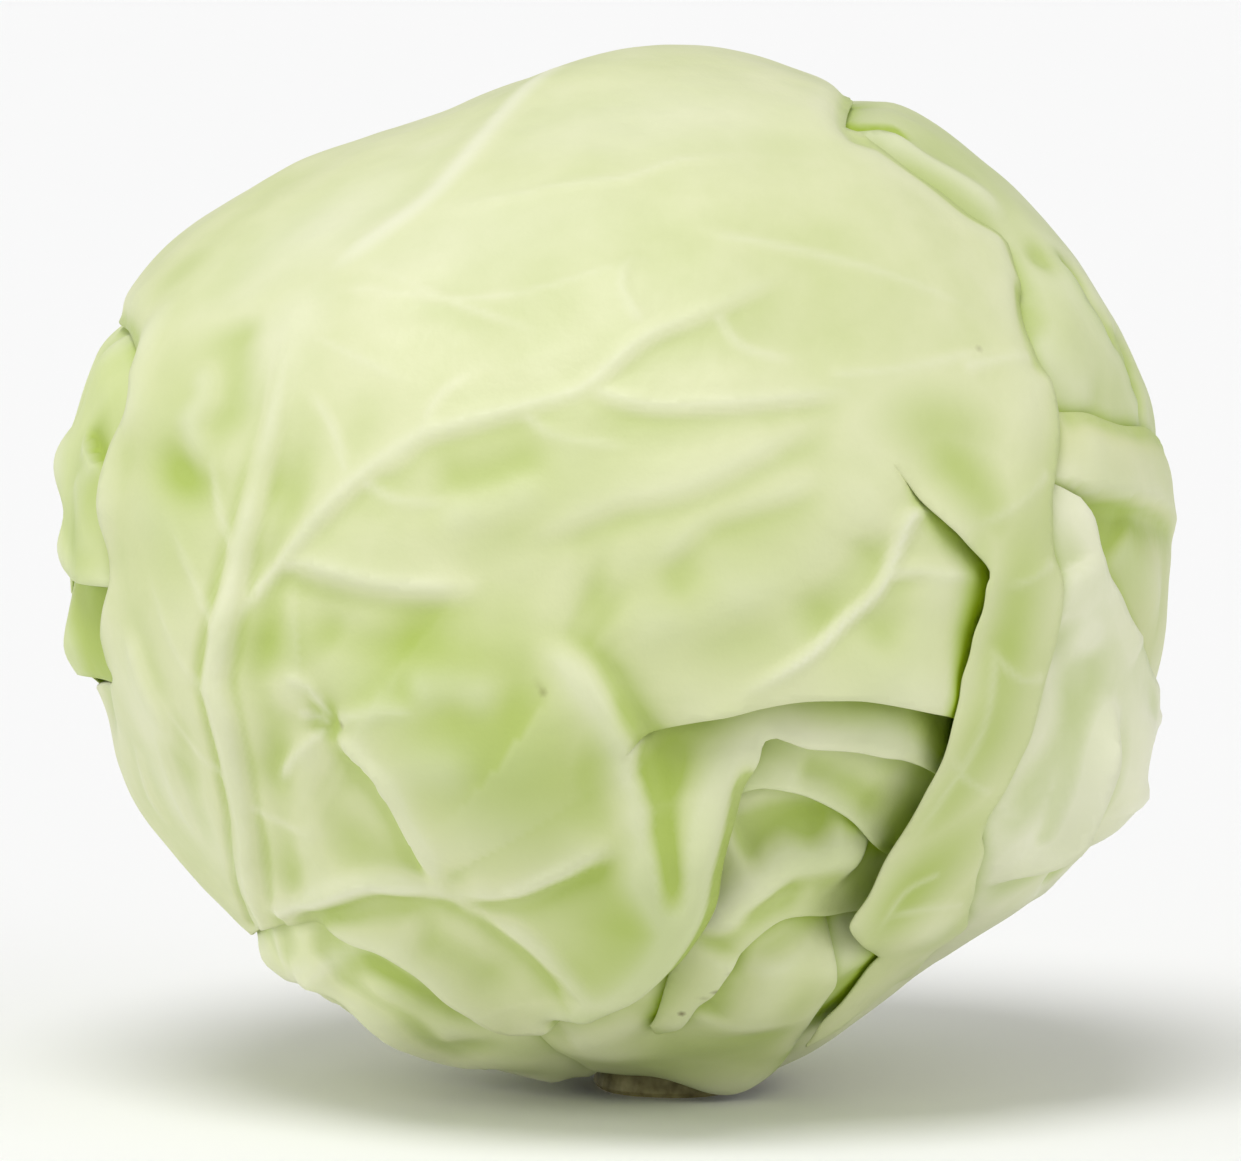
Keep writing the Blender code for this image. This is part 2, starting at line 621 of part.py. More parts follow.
    leaf.margin(rolled, 4.6, 13.0, start=0.2, end=0.3)
    leaf.margin([(303, 930), (349, 941), (406, 962), (462, 1007), (505, 1032)], 1.4, 5.0,
                start=0.2, end=0.2)
    leaf.margin(strap, 1.2, 10.0, end=0.2, side=-1.0)
    leaf.margin(strap_high, -1.7, 9.0, push=-4.0, end=0.3, side=1.0)
    leaf.margin([(1032, 353), (1029, 310), (1026, 277), (1012, 239), (1000, 226), (969, 205),
                 (923, 172), (880, 146), (846, 124), hidden(66, 96), hidden(80, 110)],
                -1.9, 4.0, start=0.1, end=0.1)
    leaf.margin([(1046, 386), (1032, 353), (1029, 310), (1026, 277)], -1.0, 4.0, start=0.2, end=0.2)
    leaf.terms.append(lambda flat: ripple(leaf.chart.round(flat), 11, 60.0, 0.7))
    leaf.terms.append(lambda flat: ripple(leaf.chart.round(flat), 12, 34.0, 0.35))
    leaf.terms.append(lambda flat: ripple(leaf.chart.round(flat) * (0.45, 1.0, 1.0), 13, 22.0, 0.22))
    return leaf


def wavy_leaf(name, edges, seed, sink=0.0, step=MESH_STEP, wave=0.7):
    """A leaf with its outline and a soft waviness."""
    middle = np.vstack([directions_of(edge) for edge in edges]).mean(axis=0)
    leaf = Leaf(name, unit(middle), step=step, sink=sink)
    leaf.outline(edges)
    leaf.terms.append(lambda flat: ripple(leaf.chart.round(flat), seed, 55.0, wave))
    return leaf


def fan(leaf, midrib, reach, height=0.5, width=1.6, count=5):
    """A midrib through drawn points and, on both its sides, veins that bend toward its tip."""
    leaf.rib(midrib, 3.0 * height, 1.7 * width, start=0.0, end=0.3)
    line = leaf.fine(midrib)
    ahead = unit(np.gradient(line, axis=0))
    aside = np.stack([-ahead[:, 1], ahead[:, 0]], axis=1)
    run = np.linspace(0.0, 1.0, 7)[:, None]
    for k in range(count):
        length = reach * (1.0 - VEIN_TAPER * k / count)
        for side in (-1.0, 1.0):
            place = VEIN_FIRST + VEIN_SPAN * (k + VEIN_STAGGER * max(side, 0.0)) / count
            at = int(place * (len(line) - 1))
            out = VEIN_SPREAD * side * run * aside[at]
            along = (VEIN_LEAN * run + VEIN_BEND * run**2) * ahead[at]
            vein = curve(line[at] + length * (out + along), VEIN_STEP)
            leaf.rib(vein, height, width, start=0.0, end=0.5)
            leaf.fold(vein, 0.6 * height, 1.4 * height, 9.0, 12.0, start=0.0, end=0.5, width=5.0)


def right_ear_leaf():
    """The fold that stands out at the upper right of the outline, and the ground under it."""
    leaf = wavy_leaf("leaf_right_ear", [
        [(1022, 402), (1054, 410), (1086, 412), (1117, 424), (1147, 429), (1163, 440)],
        [(1163, 440), hidden(12, 98), hidden(12, 112), hidden(-4, 116), hidden(-17, 110),
         hidden(-19, 96), (1130, 670)],
        [(1130, 670), (1098, 640), (1066, 590), (1046, 540), (1022, 500)],
        [(1022, 500), (1022, 402)],
    ], 21, step=8.0)
    leaf.fold([(1040, 472), (1063, 476), (1083, 485), (1117, 491), (1150, 497), hidden(6, 92),
               hidden(6, 106)], 1.8, 2.0, 8.0, 9.0, start=0.1, end=0.75, width=4.5)
    leaf.margin([(1054, 410), (1086, 412), (1117, 424), (1147, 429), (1163, 440)], -1.0, 4.0, start=0.1)
    leaf.rib([(1060, 440), (1110, 452), (1160, 466)], 1.0, 6.0, start=0.2, end=0.0)
    leaf.rib([(1115, 530), (1135, 570), (1160, 600)], 1.4, 7.0)
    return leaf


def top_right_leaf():
    """The leaf whose margins show as slits along the upper right of the outline."""
    leaf = wavy_leaf("leaf_top_right", [
        [(815, 140), (870, 190), (940, 235), (985, 290), (1006, 360), (1014, 440)],
        [(1014, 440), (1060, 445), (1110, 452), (1150, 456), hidden(6, 98)],
        [hidden(6, 98), hidden(14, 112), hidden(30, 120), hidden(50, 121), hidden(66, 116),
         hidden(70, 100), (815, 140)],
    ], 22)
    leaf.rib([(880, 132), (930, 160), (978, 192), (1014, 222)], 1.3, 2.6)
    fan(leaf, [hidden(20, 112), hidden(40, 110), hidden(58, 108), hidden(68, 104)], 26.0, 0.4, 1.5, 4)
    leaf.fold([(905, 129), (870, 128), (842, 121)], 1.2, 0.3, 5.0, 5.0, start=0.4, end=0.1)
    leaf.fold([(1112, 343), (1091, 320), (1073, 290), (1060, 258)], 1.2, 0.8, 6.0, 6.0,
              start=0.3, end=0.3, width=2.0)
    leaf.fold([(1145, 412), (1130, 380), (1121, 341)], 1.2, 0.8, 5.0, 5.0,
              start=0.2, end=0.3, width=2.0)
    leaf.mound(1042, 258, 3.5, -1.6)
    leaf.rib([(844, 119), (869, 121), (897, 128), (910, 128)], -1.8, 1.6, start=0.1, end=0.3)
    leaf.rib([(1064, 256), (1080, 288), (1098, 317), (1118, 340)], -2.2, 4.0, start=0.2, end=0.2)
    leaf.rib([(1126, 338), (1131, 374), (1149, 408)], -2.0, 4.0, start=0.2, end=0.2)
    leaf.rib([(1030, 330), (1060, 370), (1100, 410)], 0.9, 6.0)
    return leaf


def right_leaf():
    """The pale leaf between the strap and the right of the outline."""
    leaf = wavy_leaf("leaf_right", [
        [(1026, 476), (1026, 560), (1018, 640), (990, 720), (950, 800), (900, 850), (850, 900)],
        [(850, 900), (800, 955), (790, 1010), under(-58, 24)],
        [under(-58, 24), under(-44, 19), under(-20, 17.5), under(4, 17.5), under(30, 23),
         hidden(-46, 118), hidden(-32, 118), hidden(-20, 114), hidden(-18, 98), (1136, 645)],
        [(1136, 645), (1126, 620), (1114, 592), (1101, 572), (1091, 546), (1086, 519), (1076, 498)],
        [(1076, 498), (1056, 484), (1026, 476)],
    ], 23)
    edge = [(1136, 645), (1126, 620), (1114, 592), (1101, 572), (1091, 546), (1086, 519)]
    leaf.margin(edge, 1.0, 5.0, start=0.1)
    leaf.rib([(1111, 685), (1100, 717), (1086, 756), (1068, 802), (1052, 836), (1036, 850), (971, 887)],
             3.0, 4.0, start=0.3, end=0.4)
    leaf.fold([(971, 887), (1036, 850), (1052, 836), (1068, 802), (1086, 756), (1100, 717), (1111, 685)],
              3.2, 0.8, 9.0, 10.0, start=0.3, end=0.3, width=4.0)
    leaf.rib([(1134, 772), (1109, 788), (1089, 807), (1070, 827)], 1.4, 2.0)
    leaf.mound(1118, 760, 12.0, 3.6)
    leaf.mound(1098, 812, 9.0, 3.6)
    leaf.mound(1062, 866, 5.0, -3.0)
    leaf.mound(1030, 890, 8.0, 1.2)
    leaf.rib([(1060, 600), (1075, 650), (1070, 720), (1040, 790), (1000, 850)], -2.0, 8.0)
    leaf.rib([(1070, 560), (1080, 620), (1088, 670)], 1.6, 6.0)
    leaf.rib([(985, 870), (1010, 850), (1040, 800), (1062, 740)], 0.8, 2.5)
    fan(leaf, [hidden(-52, 112), hidden(-40, 106), hidden(-28, 101), (1150, 700), (1120, 640)],
        34.0, 0.4, 1.5, 4)
    return leaf


def upper_pleat():
    """The panel that comes out under the overhanging margin of the wrapper leaf."""
    leaf = wavy_leaf("leaf_pleat_upper", [
        [(725, 742), (770, 722), (810, 720), (860, 728), (925, 742)],
        [(925, 742), (962, 776), (940, 820), (905, 872)],
        [(905, 872), (883, 853), (860, 828), (834, 812), (805, 800), (774, 795), (752, 798), (716, 815)],
        [(716, 815), (706, 780), (725, 742)],
    ], 24, step=7.0, sink=4.4, wave=0.3)
    leaf.margin([(883, 853), (860, 828), (834, 812), (805, 800), (774, 795), (752, 798)], 1.2, 5.0)
    leaf.rib([(800, 775), (850, 790), (900, 830)], -0.8, 4.0)
    return leaf


def lower_pleat():
    """The pleat that narrows to a tongue below the panel."""
    leaf = wavy_leaf("leaf_pleat_lower", [
        [(686, 822), (730, 782), (780, 768), (835, 782), (900, 838), (925, 862)],
        [(925, 862), (918, 900), (893, 930)],
        [(893, 930), (850, 934), (816, 933), (790, 937), (766, 948), (745, 966), (726, 989), (714, 1006),
         (699, 1018), (686, 1032), (671, 1045)],
        [(671, 1045), (658, 1051), (651, 1040)],
        [(651, 1040), (663, 1015), (670, 997), (680, 975), (690, 952)],
        [(690, 952), (676, 920), (676, 870), (686, 822)],
    ], 25, step=7.0, sink=4.6, wave=0.3)
    leaf.rib([(705, 960), (734, 919), (761, 896), (790, 873), (818, 865), (850, 862), (885, 868)],
             3.4, 6.0, start=0.2, end=0.1, crease=True)
    leaf.margin([(745, 966), (714, 1006), (686, 1032)], 2.0, 7.0)
    leaf.rib([(735, 860), (790, 832), (850, 840)], -2.2, 6.0)
    leaf.rib([(720, 975), (760, 930), (820, 900)], -1.4, 5.0)
    return leaf


def bottom_pleat():
    """The lowest pleat, round the front of the stem."""
    leaf = wavy_leaf("leaf_pleat_bottom", [
        [(598, 972), (650, 935), (705, 905), (780, 902), (850, 912)],
        [(850, 912), (838, 942), (834, 965), (833, 985), (829, 1000), (819, 1019), (803, 1047)],
        [(803, 1047), under(-40, 24), under(-56, 18.5), under(-76, 17.5), under(-98, 17.5),
         under(-116, 18), under(-128, 21)],
        [under(-128, 21), (553, 1057), (534, 1040), (552, 1000), (598, 972)],
    ], 26, step=8.0, sink=2.4, wave=0.5)
    leaf.margin([(834, 965), (829, 1000), (803, 1047)], 1.5, 6.0)
    leaf.rib([(770, 960), (775, 1000), (745, 1050)], 1.6, 10.0)
    leaf.rib([(700, 1030), (730, 1000), (750, 965)], -1.5, 5.0)
    leaf.rib([(560, 1043), (600, 1040), (650, 1030)], 1.0, 5.0)
    leaf.mound(735, 1085, 10.0, 4.4)
    leaf.mound(600, 1058, 9.0, 2.0)
    return leaf


def bottom_left_leaf():
    """The leaf whose lower part shows under the lower margin of the wrapper leaf."""
    leaf = wavy_leaf("leaf_bottom_left", [
        [(262, 880), (330, 885), (420, 905), (505, 960), (575, 1000)],
        [(575, 1000), under(-122, 21)],
        [under(-122, 21), under(-150, 18), under(180, 18), under(160, 20), hidden(240, 124),
         hidden(226, 114), hidden(219, 98), (258, 868)],
    ], 27, sink=0.0)
    leaf.mound(268, 950, 6.0, 3.2)
    fan(leaf, [under(-150, 24), hidden(236, 112), hidden(228, 104), (330, 965), (400, 940)],
        30.0, 0.4, 1.5, 4)
    leaf.rib([(285, 960), (340, 990), (400, 1035), (450, 1062), (510, 1062)], 1.4, 4.0)
    leaf.mound(330, 1000, 9.0, -1.2)
    leaf.rib([(300, 950), (380, 975), (450, 1015), (520, 1045)], -2.6, 6.5)
    leaf.rib([(310, 965), (400, 1015), (439, 1047), (480, 1047), (525, 1041)], -1.4, 4.5)
    leaf.rib([(280, 950), (360, 1000), (430, 1055)], 1.0, 6.0)
    return leaf


def left_leaf():
    """The ear shaped lobe at the left of the outline."""
    leaf = wavy_leaf("leaf_left", [
        [(150, 285), (172, 360), (158, 450), (146, 520), (140, 585)],
        [(140, 585), (107, 586), (86, 580), (72, 562)],
        [(72, 562), hidden(182, 94), hidden(180, 108), hidden(168, 116), hidden(154, 110),
         hidden(147, 96), (150, 285)],
    ], 28, step=8.0)
    leaf.mound(56, 462, 8.0, 2.4)
    leaf.mound(78, 385, 8.0, -3.2)
    leaf.mound(118, 325, 7.0, 1.6)
    leaf.mound(58, 512, 5.0, -1.2)
    leaf.mound(66, 540, 5.0, 1.2)
    leaf.fold([(105, 475), (96, 455), (90, 430)], 1.0, 2.0, 4.0, 4.0, start=0.3, end=0.4)
    leaf.margin([(107, 586), (86, 580), (72, 562)], 1.5, 5.0)
    leaf.rib([(85, 470), (90, 520), (95, 570)], 0.8, 5.0)
    return leaf


def left_low_leaf():
    """The outer leaf behind and below the ear."""
    leaf = wavy_leaf("leaf_left_low", [
        [(95, 470), (150, 500), (168, 600), (158, 690)],
        [(158, 690), (112, 685), (86, 673)],
        [(86, 673), hidden(190, 92), hidden(195, 106), hidden(186, 116), hidden(172, 114),
         hidden(170, 98), (95, 470)],
    ], 29, step=8.0)
    leaf.mound(80, 655, 8.0, 4.0)
    leaf.mound(68, 590, 5.0, 1.0)
    leaf.mound(100, 600, 6.0, -3.0)
    return leaf


def back_left_leaf():
    """The large leaf that closes the back at the left."""
    leaf = wavy_leaf("leaf_back_left", [
        [hidden(98, 102), hidden(122, 100), hidden(145, 97), hidden(168, 96), hidden(192, 93),
         hidden(215, 90), hidden(238, 96), hidden(250, 112)],
        [hidden(250, 112), under(172, 23), under(150, 18.5), under(122, 17.5), under(98, 18.5),
         under(84, 24)],
        [under(84, 24), hidden(283, 134), hidden(310, 158), hidden(0, 164), hidden(55, 156),
         hidden(84, 128), hidden(98, 102)],
    ], 30, wave=1.2)
    fan(leaf, [hidden(262, 122), hidden(232, 132), hidden(190, 140), hidden(150, 140), hidden(118, 124)],
        80.0, 0.6, 1.8, 7)
    leaf.terms.append(lambda flat: ripple(leaf.chart.round(flat), 61, 32.0, 0.35))
    return leaf


def back_right_leaf():
    """The large leaf that closes the back at the right."""
    leaf = wavy_leaf("leaf_back_right", [
        [hidden(93, 104), hidden(66, 102), hidden(40, 100), hidden(14, 98), hidden(-12, 97),
         hidden(-36, 94), hidden(-52, 98), hidden(-58, 108)],
        [hidden(-58, 108), under(22, 23), under(42, 18.5), under(70, 17.5), under(96, 18.5),
         under(112, 25)],
        [under(112, 25), hidden(-106, 140), hidden(-140, 156), hidden(180, 158), hidden(130, 150),
         hidden(104, 128), hidden(93, 104)],
    ], 31, wave=1.2)
    fan(leaf, [hidden(-78, 118), hidden(-50, 130), hidden(0, 142), hidden(50, 134), hidden(74, 114)],
        76.0, 0.6, 1.8, 7)
    leaf.terms.append(lambda flat: ripple(leaf.chart.round(flat), 62, 32.0, 0.35))
    return leaf


LEAVES = [
    front_leaf, upper_pleat, lower_pleat, bottom_pleat, right_leaf, right_ear_leaf, top_right_leaf,
    bottom_left_leaf, left_leaf, left_low_leaf, back_left_leaf, back_right_leaf,
]

COLOURS = {
    "leaf_front": (0.80, 0.83, 0.58),
    "leaf_right_ear": (0.81, 0.83, 0.62),
    "leaf_top_right": (0.80, 0.83, 0.58),
    "leaf_right": (0.79, 0.80, 0.62),
    "leaf_pleat_upper": (0.72, 0.77, 0.47),
    "leaf_pleat_lower": (0.72, 0.76, 0.46),
    "leaf_pleat_bottom": (0.70, 0.74, 0.45),
    "leaf_bottom_left": (0.58, 0.66, 0.30),
    "leaf_left": (0.66, 0.74, 0.38),
    "leaf_left_low": (0.48, 0.57, 0.12),
    "leaf_back_left": (0.76, 0.80, 0.52),
    "leaf_back_right": (0.76, 0.80, 0.50),
    "heart": (0.62, 0.70, 0.28),
    "stem": (0.28, 0.26, 0.10),
}


def material(name):
    """Surface of one piece."""
    made = bpy.data.materials.new(name)
    made.use_nodes = True
    shader = made.node_tree.nodes["Principled BSDF"]
    shader.inputs["Base Color"].default_value = (*COLOURS[name], 1.0)
    shader.inputs["Roughness"].default_value = 0.55 if name == "stem" else 0.42
    shader.inputs["Metallic"].default_value = 0.0
    made.diffuse_color = (*COLOURS[name], 1.0)
    return made


def world(points):
    """Points by the drawing's axes, in metres in the world."""
    return (points @ AXES + np.array(HEAD_CENTRE)) * MM


def outward(points, faces):
    """Faces turned, all alike, so that they look away from the head's centre."""
    a, b, c = (points[faces[:, k]] for k in range(3))
    facing = np.einsum("ij,ij->i", np.cross(b - a, c - a), a + b + c)
    return faces[:, ::-1] if facing.sum() < 0.0 else faces


def add_mesh(name, points, faces, collection):
    """An object made of points and faces."""
    mesh = bpy.data.meshes.new(name)
    mesh.from_pydata([tuple(p) for p in world(points)], [], [tuple(f) for f in faces.tolist()])
    mesh.update()
    made = bpy.data.objects.new(name, mesh)
    collection.objects.link(made)
    mesh.materials.append(material(name))
    return made


def build_leaves(collection):
    """Make every leaf, outermost first, and return what covers the heart."""
    built = []
    covers = []
    for make in LEAVES:
        leaf = make()
        flat, faces, directions, height = leaf.sheet(built)
        faces = outward(directions, faces)
        height = settle(directions, height, faces, covers, LEAF_GAP)
        points = directions * height[:, None]
        made = add_mesh(leaf.name, points, faces, collection)
        solid = made.modifiers.new("Thickness", "SOLIDIFY")
        solid.thickness = leaf.thickness * MM
        solid.offset = -1.0
        under = points - point_normals(points, faces) * leaf.thickness
        covers.append((tree_of(under, faces), under))
        built.append(leaf)
    return covers


def build_heart(collection, covers):
    """The dense inner head, its surface in overlapping leaf steps."""
    bm = bmesh.new()
    bmesh.ops.create_icosphere(bm, subdivisions=4, radius=1.0)
    bm.verts.ensure_lookup_table()
    directions = unit(np.array([tuple(v.co) for v in bm.verts]))
    faces = np.array([[v.index for v in f.verts] for f in bm.faces])
    clock = np.arctan2(directions[:, 1], directions[:, 0])
    swirl = (clock * 5.0 / (2.0 * math.pi) + 0.9 * directions[:, 2]) % 1.0
    step = 1.4 * ease(swirl, 0.0, 0.12) * (1.0 - swirl) * np.sqrt(1.0 - directions[:, 2] ** 2)
    height = form_radius(directions) - HEART_DEPTH + step + ripple(directions, 41, 50.0, 0.8)
    height = settle(directions, height, faces, covers, LEAF_GAP)
    height = above_level(directions, height, STEM_HEIGHT + STEM_CLEARANCE)
    points = directions * height[:, None]
    for vert, point in zip(bm.verts, world(points)):
        vert.co = point
    mesh = bpy.data.meshes.new("heart")
    bm.to_mesh(mesh)
    bm.free()
    made = bpy.data.objects.new("heart", mesh)
    collection.objects.link(made)
    mesh.materials.append(material("heart"))


def build_stem(collection):
    """The cut stump, its flat face down."""
    bm = bmesh.new()
    bmesh.ops.create_cone(
        bm, cap_ends=True, segments=STEM_SIDES, radius1=STEM_RADIUS * MM,
        radius2=STEM_TOP_RADIUS * MM, depth=STEM_HEIGHT * MM,
    )
    for vert in bm.verts:
        angle = math.atan2(vert.co.y, vert.co.x)
        vert.co.xy *= 1.0 + 0.03 * math.sin(3.0 * angle) + 0.02 * math.sin(5.0 * angle + 1.0)
        vert.co += Vector((
            (HEAD_CENTRE[0] + STEM_CENTRE[0]) * MM,
            (HEAD_CENTRE[1] + STEM_CENTRE[1]) * MM,
            STEM_HEIGHT * MM / 2.0,
        ))
    mesh = bpy.data.meshes.new("stem")
    bm.to_mesh(mesh)
    bm.free()
    made = bpy.data.objects.new("stem", mesh)
    collection.objects.link(made)
    mesh.materials.append(material("stem"))
    bevel = made.modifiers.new("Rim", "BEVEL")
    bevel.width = 0.8 * MM
    bevel.segments = 1
    bevel.limit_method = "ANGLE"


def main():
    for old in list(bpy.data.objects):
        bpy.data.objects.remove(old)
    collection = bpy.data.collections.new("cabbage_head")
    bpy.context.scene.collection.children.link(collection)
    covers = build_leaves(collection)
    build_heart(collection, covers)
    build_stem(collection)


main()
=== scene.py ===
"""Looks of a head of white cabbage: fine leaves, veins, folds and waxy skin."""

import math

import bmesh
import bpy
import numpy as np
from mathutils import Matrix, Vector
from mathutils.bvhtree import BVHTree
from mathutils.geometry import delaunay_2d_cdt

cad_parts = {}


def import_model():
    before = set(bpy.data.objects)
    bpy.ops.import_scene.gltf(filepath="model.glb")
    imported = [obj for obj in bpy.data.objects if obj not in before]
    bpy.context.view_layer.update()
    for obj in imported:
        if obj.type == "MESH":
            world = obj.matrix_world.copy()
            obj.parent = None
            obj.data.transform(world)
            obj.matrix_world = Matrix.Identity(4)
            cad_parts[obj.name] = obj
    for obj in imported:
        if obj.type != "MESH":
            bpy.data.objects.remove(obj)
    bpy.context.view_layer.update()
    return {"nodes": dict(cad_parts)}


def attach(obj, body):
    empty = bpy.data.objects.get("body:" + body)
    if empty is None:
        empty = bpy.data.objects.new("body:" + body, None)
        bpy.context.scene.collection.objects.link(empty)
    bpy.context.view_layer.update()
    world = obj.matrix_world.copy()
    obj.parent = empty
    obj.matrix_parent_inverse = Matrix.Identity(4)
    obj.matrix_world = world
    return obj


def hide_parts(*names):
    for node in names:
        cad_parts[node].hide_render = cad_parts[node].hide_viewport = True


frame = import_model()

MM = 0.001

# Elevation drawing of the head's front: drawing units per millimetre, its centre, y runs down
UNITS_PER_MM = 5.65
DRAWING_CENTRE = (620.0, 580.0)
# The drawing plane leans back by this angle from upright
LEAN = math.radians(8.0)

# Outline radius of the head every 15 degrees anticlockwise from the right, in millimetres
OUTLINE_RADII = [
    97.0, 99.0, 98.6, 98.8, 97.3, 95.8, 92.8, 90.0, 90.8, 96.0, 102.0, 100.5,
    97.3, 94.5, 92.3, 91.5, 90.0, 90.6, 88.0, 92.0, 87.6, 89.6, 95.0, 97.3,
]
OUTLINE_HARMONICS = 9
FRONT_DEPTH = 90.0
BACK_DEPTH = 88.0
CHART_RADIUS = 92.0

# The head's centre over the middle of its footprint and the stem's flat face
HEAD_CENTRE = (0.9, 2.7, 90.6)

# Thickness of a leaf and of its margin, how far the margin's rim stands out, and the air between
# leaves; a leaf under another comes up again over the tuck's reach
LEAF_THICKNESS = 0.8
MARGIN_THICKNESS = 0.55
MARGIN_REACH = 5.0
MARGIN_ROUNDING = 0.22
LEAF_GAP = 0.4
TUCK_REACH = 11.0

# Spacing of the mesh's points: in most leaves, in the wrapper leaf, and the fine mesh's share of it
MESH_STEP = 9.5
FRONT_MESH_STEP = 7.5
MESH_SCALE = 0.16
# Room in the mesh, in steps: from the outline to the grid and to a crease, and along a crease
OUTLINE_ROOM = 0.62
CREASE_END_ROOM = 0.45
CREASE_ROOM = 0.5

# Depth of the heart under the head's smooth form, and the overlapping steps of its leaves
HEART_DEPTH = 11.0
HEART_LEAVES = 5.0
HEART_TWIST = 0.9
HEART_STEP = 1.4

# Half the width of the cuts beside the wrapper leaf's strap, and the length over which they close
CUT_HALF_WIDTH = 0.45
CUT_TAPER = 6.0

# The stump's place and height, the air over it, and the lowest that a leaf reaches
STEM_CENTRE = (9.0, 0.0)
STEM_HEIGHT = 11.0
STEM_CLEARANCE = 1.2
FLOOR_CLEARANCE = 1.0
# Depth of the level on which the leaves' bases are drawn round the stump
UNDERSIDE_DEPTH = 84.0

# Length and height of the waves in a free margin and how far in they go, then the same two for the
# waves in the blade and in the skin
FRILL_SIZE = 14.0
FRILL_HEIGHT = 0.5
FRILL_REACH = 3.0
BLADE_WAVE_SIZE = 17.0
BLADE_WAVE_HEIGHT = 0.16
SKIN_WAVE_SIZE = 8.0
SKIN_WAVE_HEIGHT = 0.03

# A rib up to this width is drawn as a pale vein, its paleness narrower than the rib
VEIN_WIDEST = 2.7
VEIN_BLUSH = 0.7

# Rings of mesh points round a point that a ridge is measured over, and the height of a full ridge
CREST_SPREAD = 22
CREST_HEIGHT = 0.7

# Rays that look for leaves close over a point, their start over it and lean outward, how far they
# look, and how often the result is smoothed; where leaves close over, shade is painted in the
# colour
OPEN_RAYS = 10
OPEN_START = 0.3
OPEN_LEAN = 1.05
OPEN_REACH = 16.0
OPEN_SMOOTHING = 3

# The view and the light
CAMERA_DISTANCE = 6.0
IMAGE_WIDTH = 1241.0
SENSOR_WIDTH = 36.0
FLOOR_SIZE = 14.0
FLOOR_GREY = 0.9
SKY_LIGHT = 0.48
LAMPS = (
    ("top", (0.14, 0.38, -1.0), 30.0, 1.62),
    ("right", (-0.9, 0.5, -0.3), 40.0, 0.6),
    ("left", (1.0, 0.25, -0.25), 40.0, 0.82),
)

# Side veins along a midrib: place of the first and the span they share, how far one side's run
# behind the other's, how they spread, lean and bend toward the tip, and how they shorten
VEIN_FIRST = 0.12
VEIN_SPAN = 0.7
VEIN_STAGGER = 0.5
VEIN_SPREAD = 0.75
VEIN_LEAN = 0.45
VEIN_BEND = 0.3
VEIN_TAPER = 0.45
VEIN_STEP = 5.0

RIGHT_AXIS = np.array([1.0, 0.0, 0.0])
UP_AXIS = np.array([0.0, math.sin(LEAN), math.cos(LEAN)])
FRONT_AXIS = np.array([0.0, -math.cos(LEAN), math.sin(LEAN)])
AXES = np.array([RIGHT_AXIS, UP_AXIS, FRONT_AXIS])


def outline_radius(clock):
    """Radius of the head's outline in the drawing at a clock angle."""
    turn = 2.0 * math.pi * np.arange(len(OUTLINE_RADII)) / len(OUTLINE_RADII)
    values = np.array(OUTLINE_RADII)
    total = np.full(np.shape(clock), values.mean())
    for k in range(1, OUTLINE_HARMONICS + 1):
        total = total + 2.0 * (values * np.cos(k * turn)).mean() * np.cos(k * clock)
        total = total + 2.0 * (values * np.sin(k * turn)).mean() * np.sin(k * clock)
    return total


def form_radius(directions):
    """Distance from the centre to the head's smooth form along unit directions."""
    side = np.hypot(directions[:, 0], directions[:, 1])
    clock = np.arctan2(directions[:, 1], directions[:, 0])
    depth = np.where(directions[:, 2] > 0.0, FRONT_DEPTH, BACK_DEPTH)
    reach = outline_radius(clock)
    return 1.0 / np.sqrt((side / reach) ** 2 + (directions[:, 2] / depth) ** 2)


def unit(vectors):
    """Vectors of length one."""
    return vectors / np.linalg.norm(vectors, axis=-1, keepdims=True)


def seen(x, y):
    """Direction of a point drawn on the head's front."""
    across = (x - DRAWING_CENTRE[0]) / UNITS_PER_MM
    up = (DRAWING_CENTRE[1] - y) / UNITS_PER_MM
    reach = float(outline_radius(math.atan2(up, across)))
    part = min(math.hypot(across, up) / reach, 0.998)
    scale = part * reach / max(math.hypot(across, up), 1e-6)
    depth = FRONT_DEPTH * math.sqrt(1.0 - part * part)
    return unit(np.array([across * scale, up * scale, depth]))


def hidden(clock, tilt):
    """Direction at a clock angle, tilted from the front by an angle, both in degrees."""
    a = math.radians(clock)
    t = math.radians(tilt)
    return np.array([math.sin(t) * math.cos(a), math.sin(t) * math.sin(a), math.cos(t)])


def under(angle, radius):
    """Direction of a point on the underside, by angle and distance round the stem."""
    a = math.radians(angle)
    across = STEM_CENTRE[0] + radius * math.cos(a)
    back = STEM_CENTRE[1] + radius * math.sin(a)
    return unit(AXES @ np.array([across, back, -UNDERSIDE_DEPTH]))


def directions_of(points):
    """Directions of points, of which a drawn one is a pair of drawing coordinates."""
    return np.array([seen(*p) if isinstance(p, tuple) else p for p in points])


class Chart:
    """Flat map of the head round one pole, in millimetres along the head."""

    def __init__(self, pole):
        self.pole = unit(pole)
        helper = np.array([0.0, 1.0, 0.0])
        if abs(self.pole[1]) > 0.8:
            helper = np.array([0.0, 0.0, 1.0])
        self.across = unit(np.cross(helper, self.pole))
        self.up = np.cross(self.pole, self.across)

    def flat(self, directions):
        """Flat positions of directions."""
        along = np.clip(directions @ self.pole, -1.0, 1.0)
        x = directions @ self.across
        y = directions @ self.up
        angle = np.arccos(along)
        size = np.maximum(np.hypot(x, y), 1e-9)
        return np.stack([x / size, y / size], axis=1) * (angle * CHART_RADIUS)[:, None]

    def round(self, flat):
        """Directions of flat positions."""
        length = np.linalg.norm(flat, axis=1)
        angle = length / CHART_RADIUS
        side = flat / np.maximum(length, 1e-9)[:, None]
        across = side[:, :1] * self.across + side[:, 1:] * self.up
        return np.sin(angle)[:, None] * across + np.cos(angle)[:, None] * self.pole


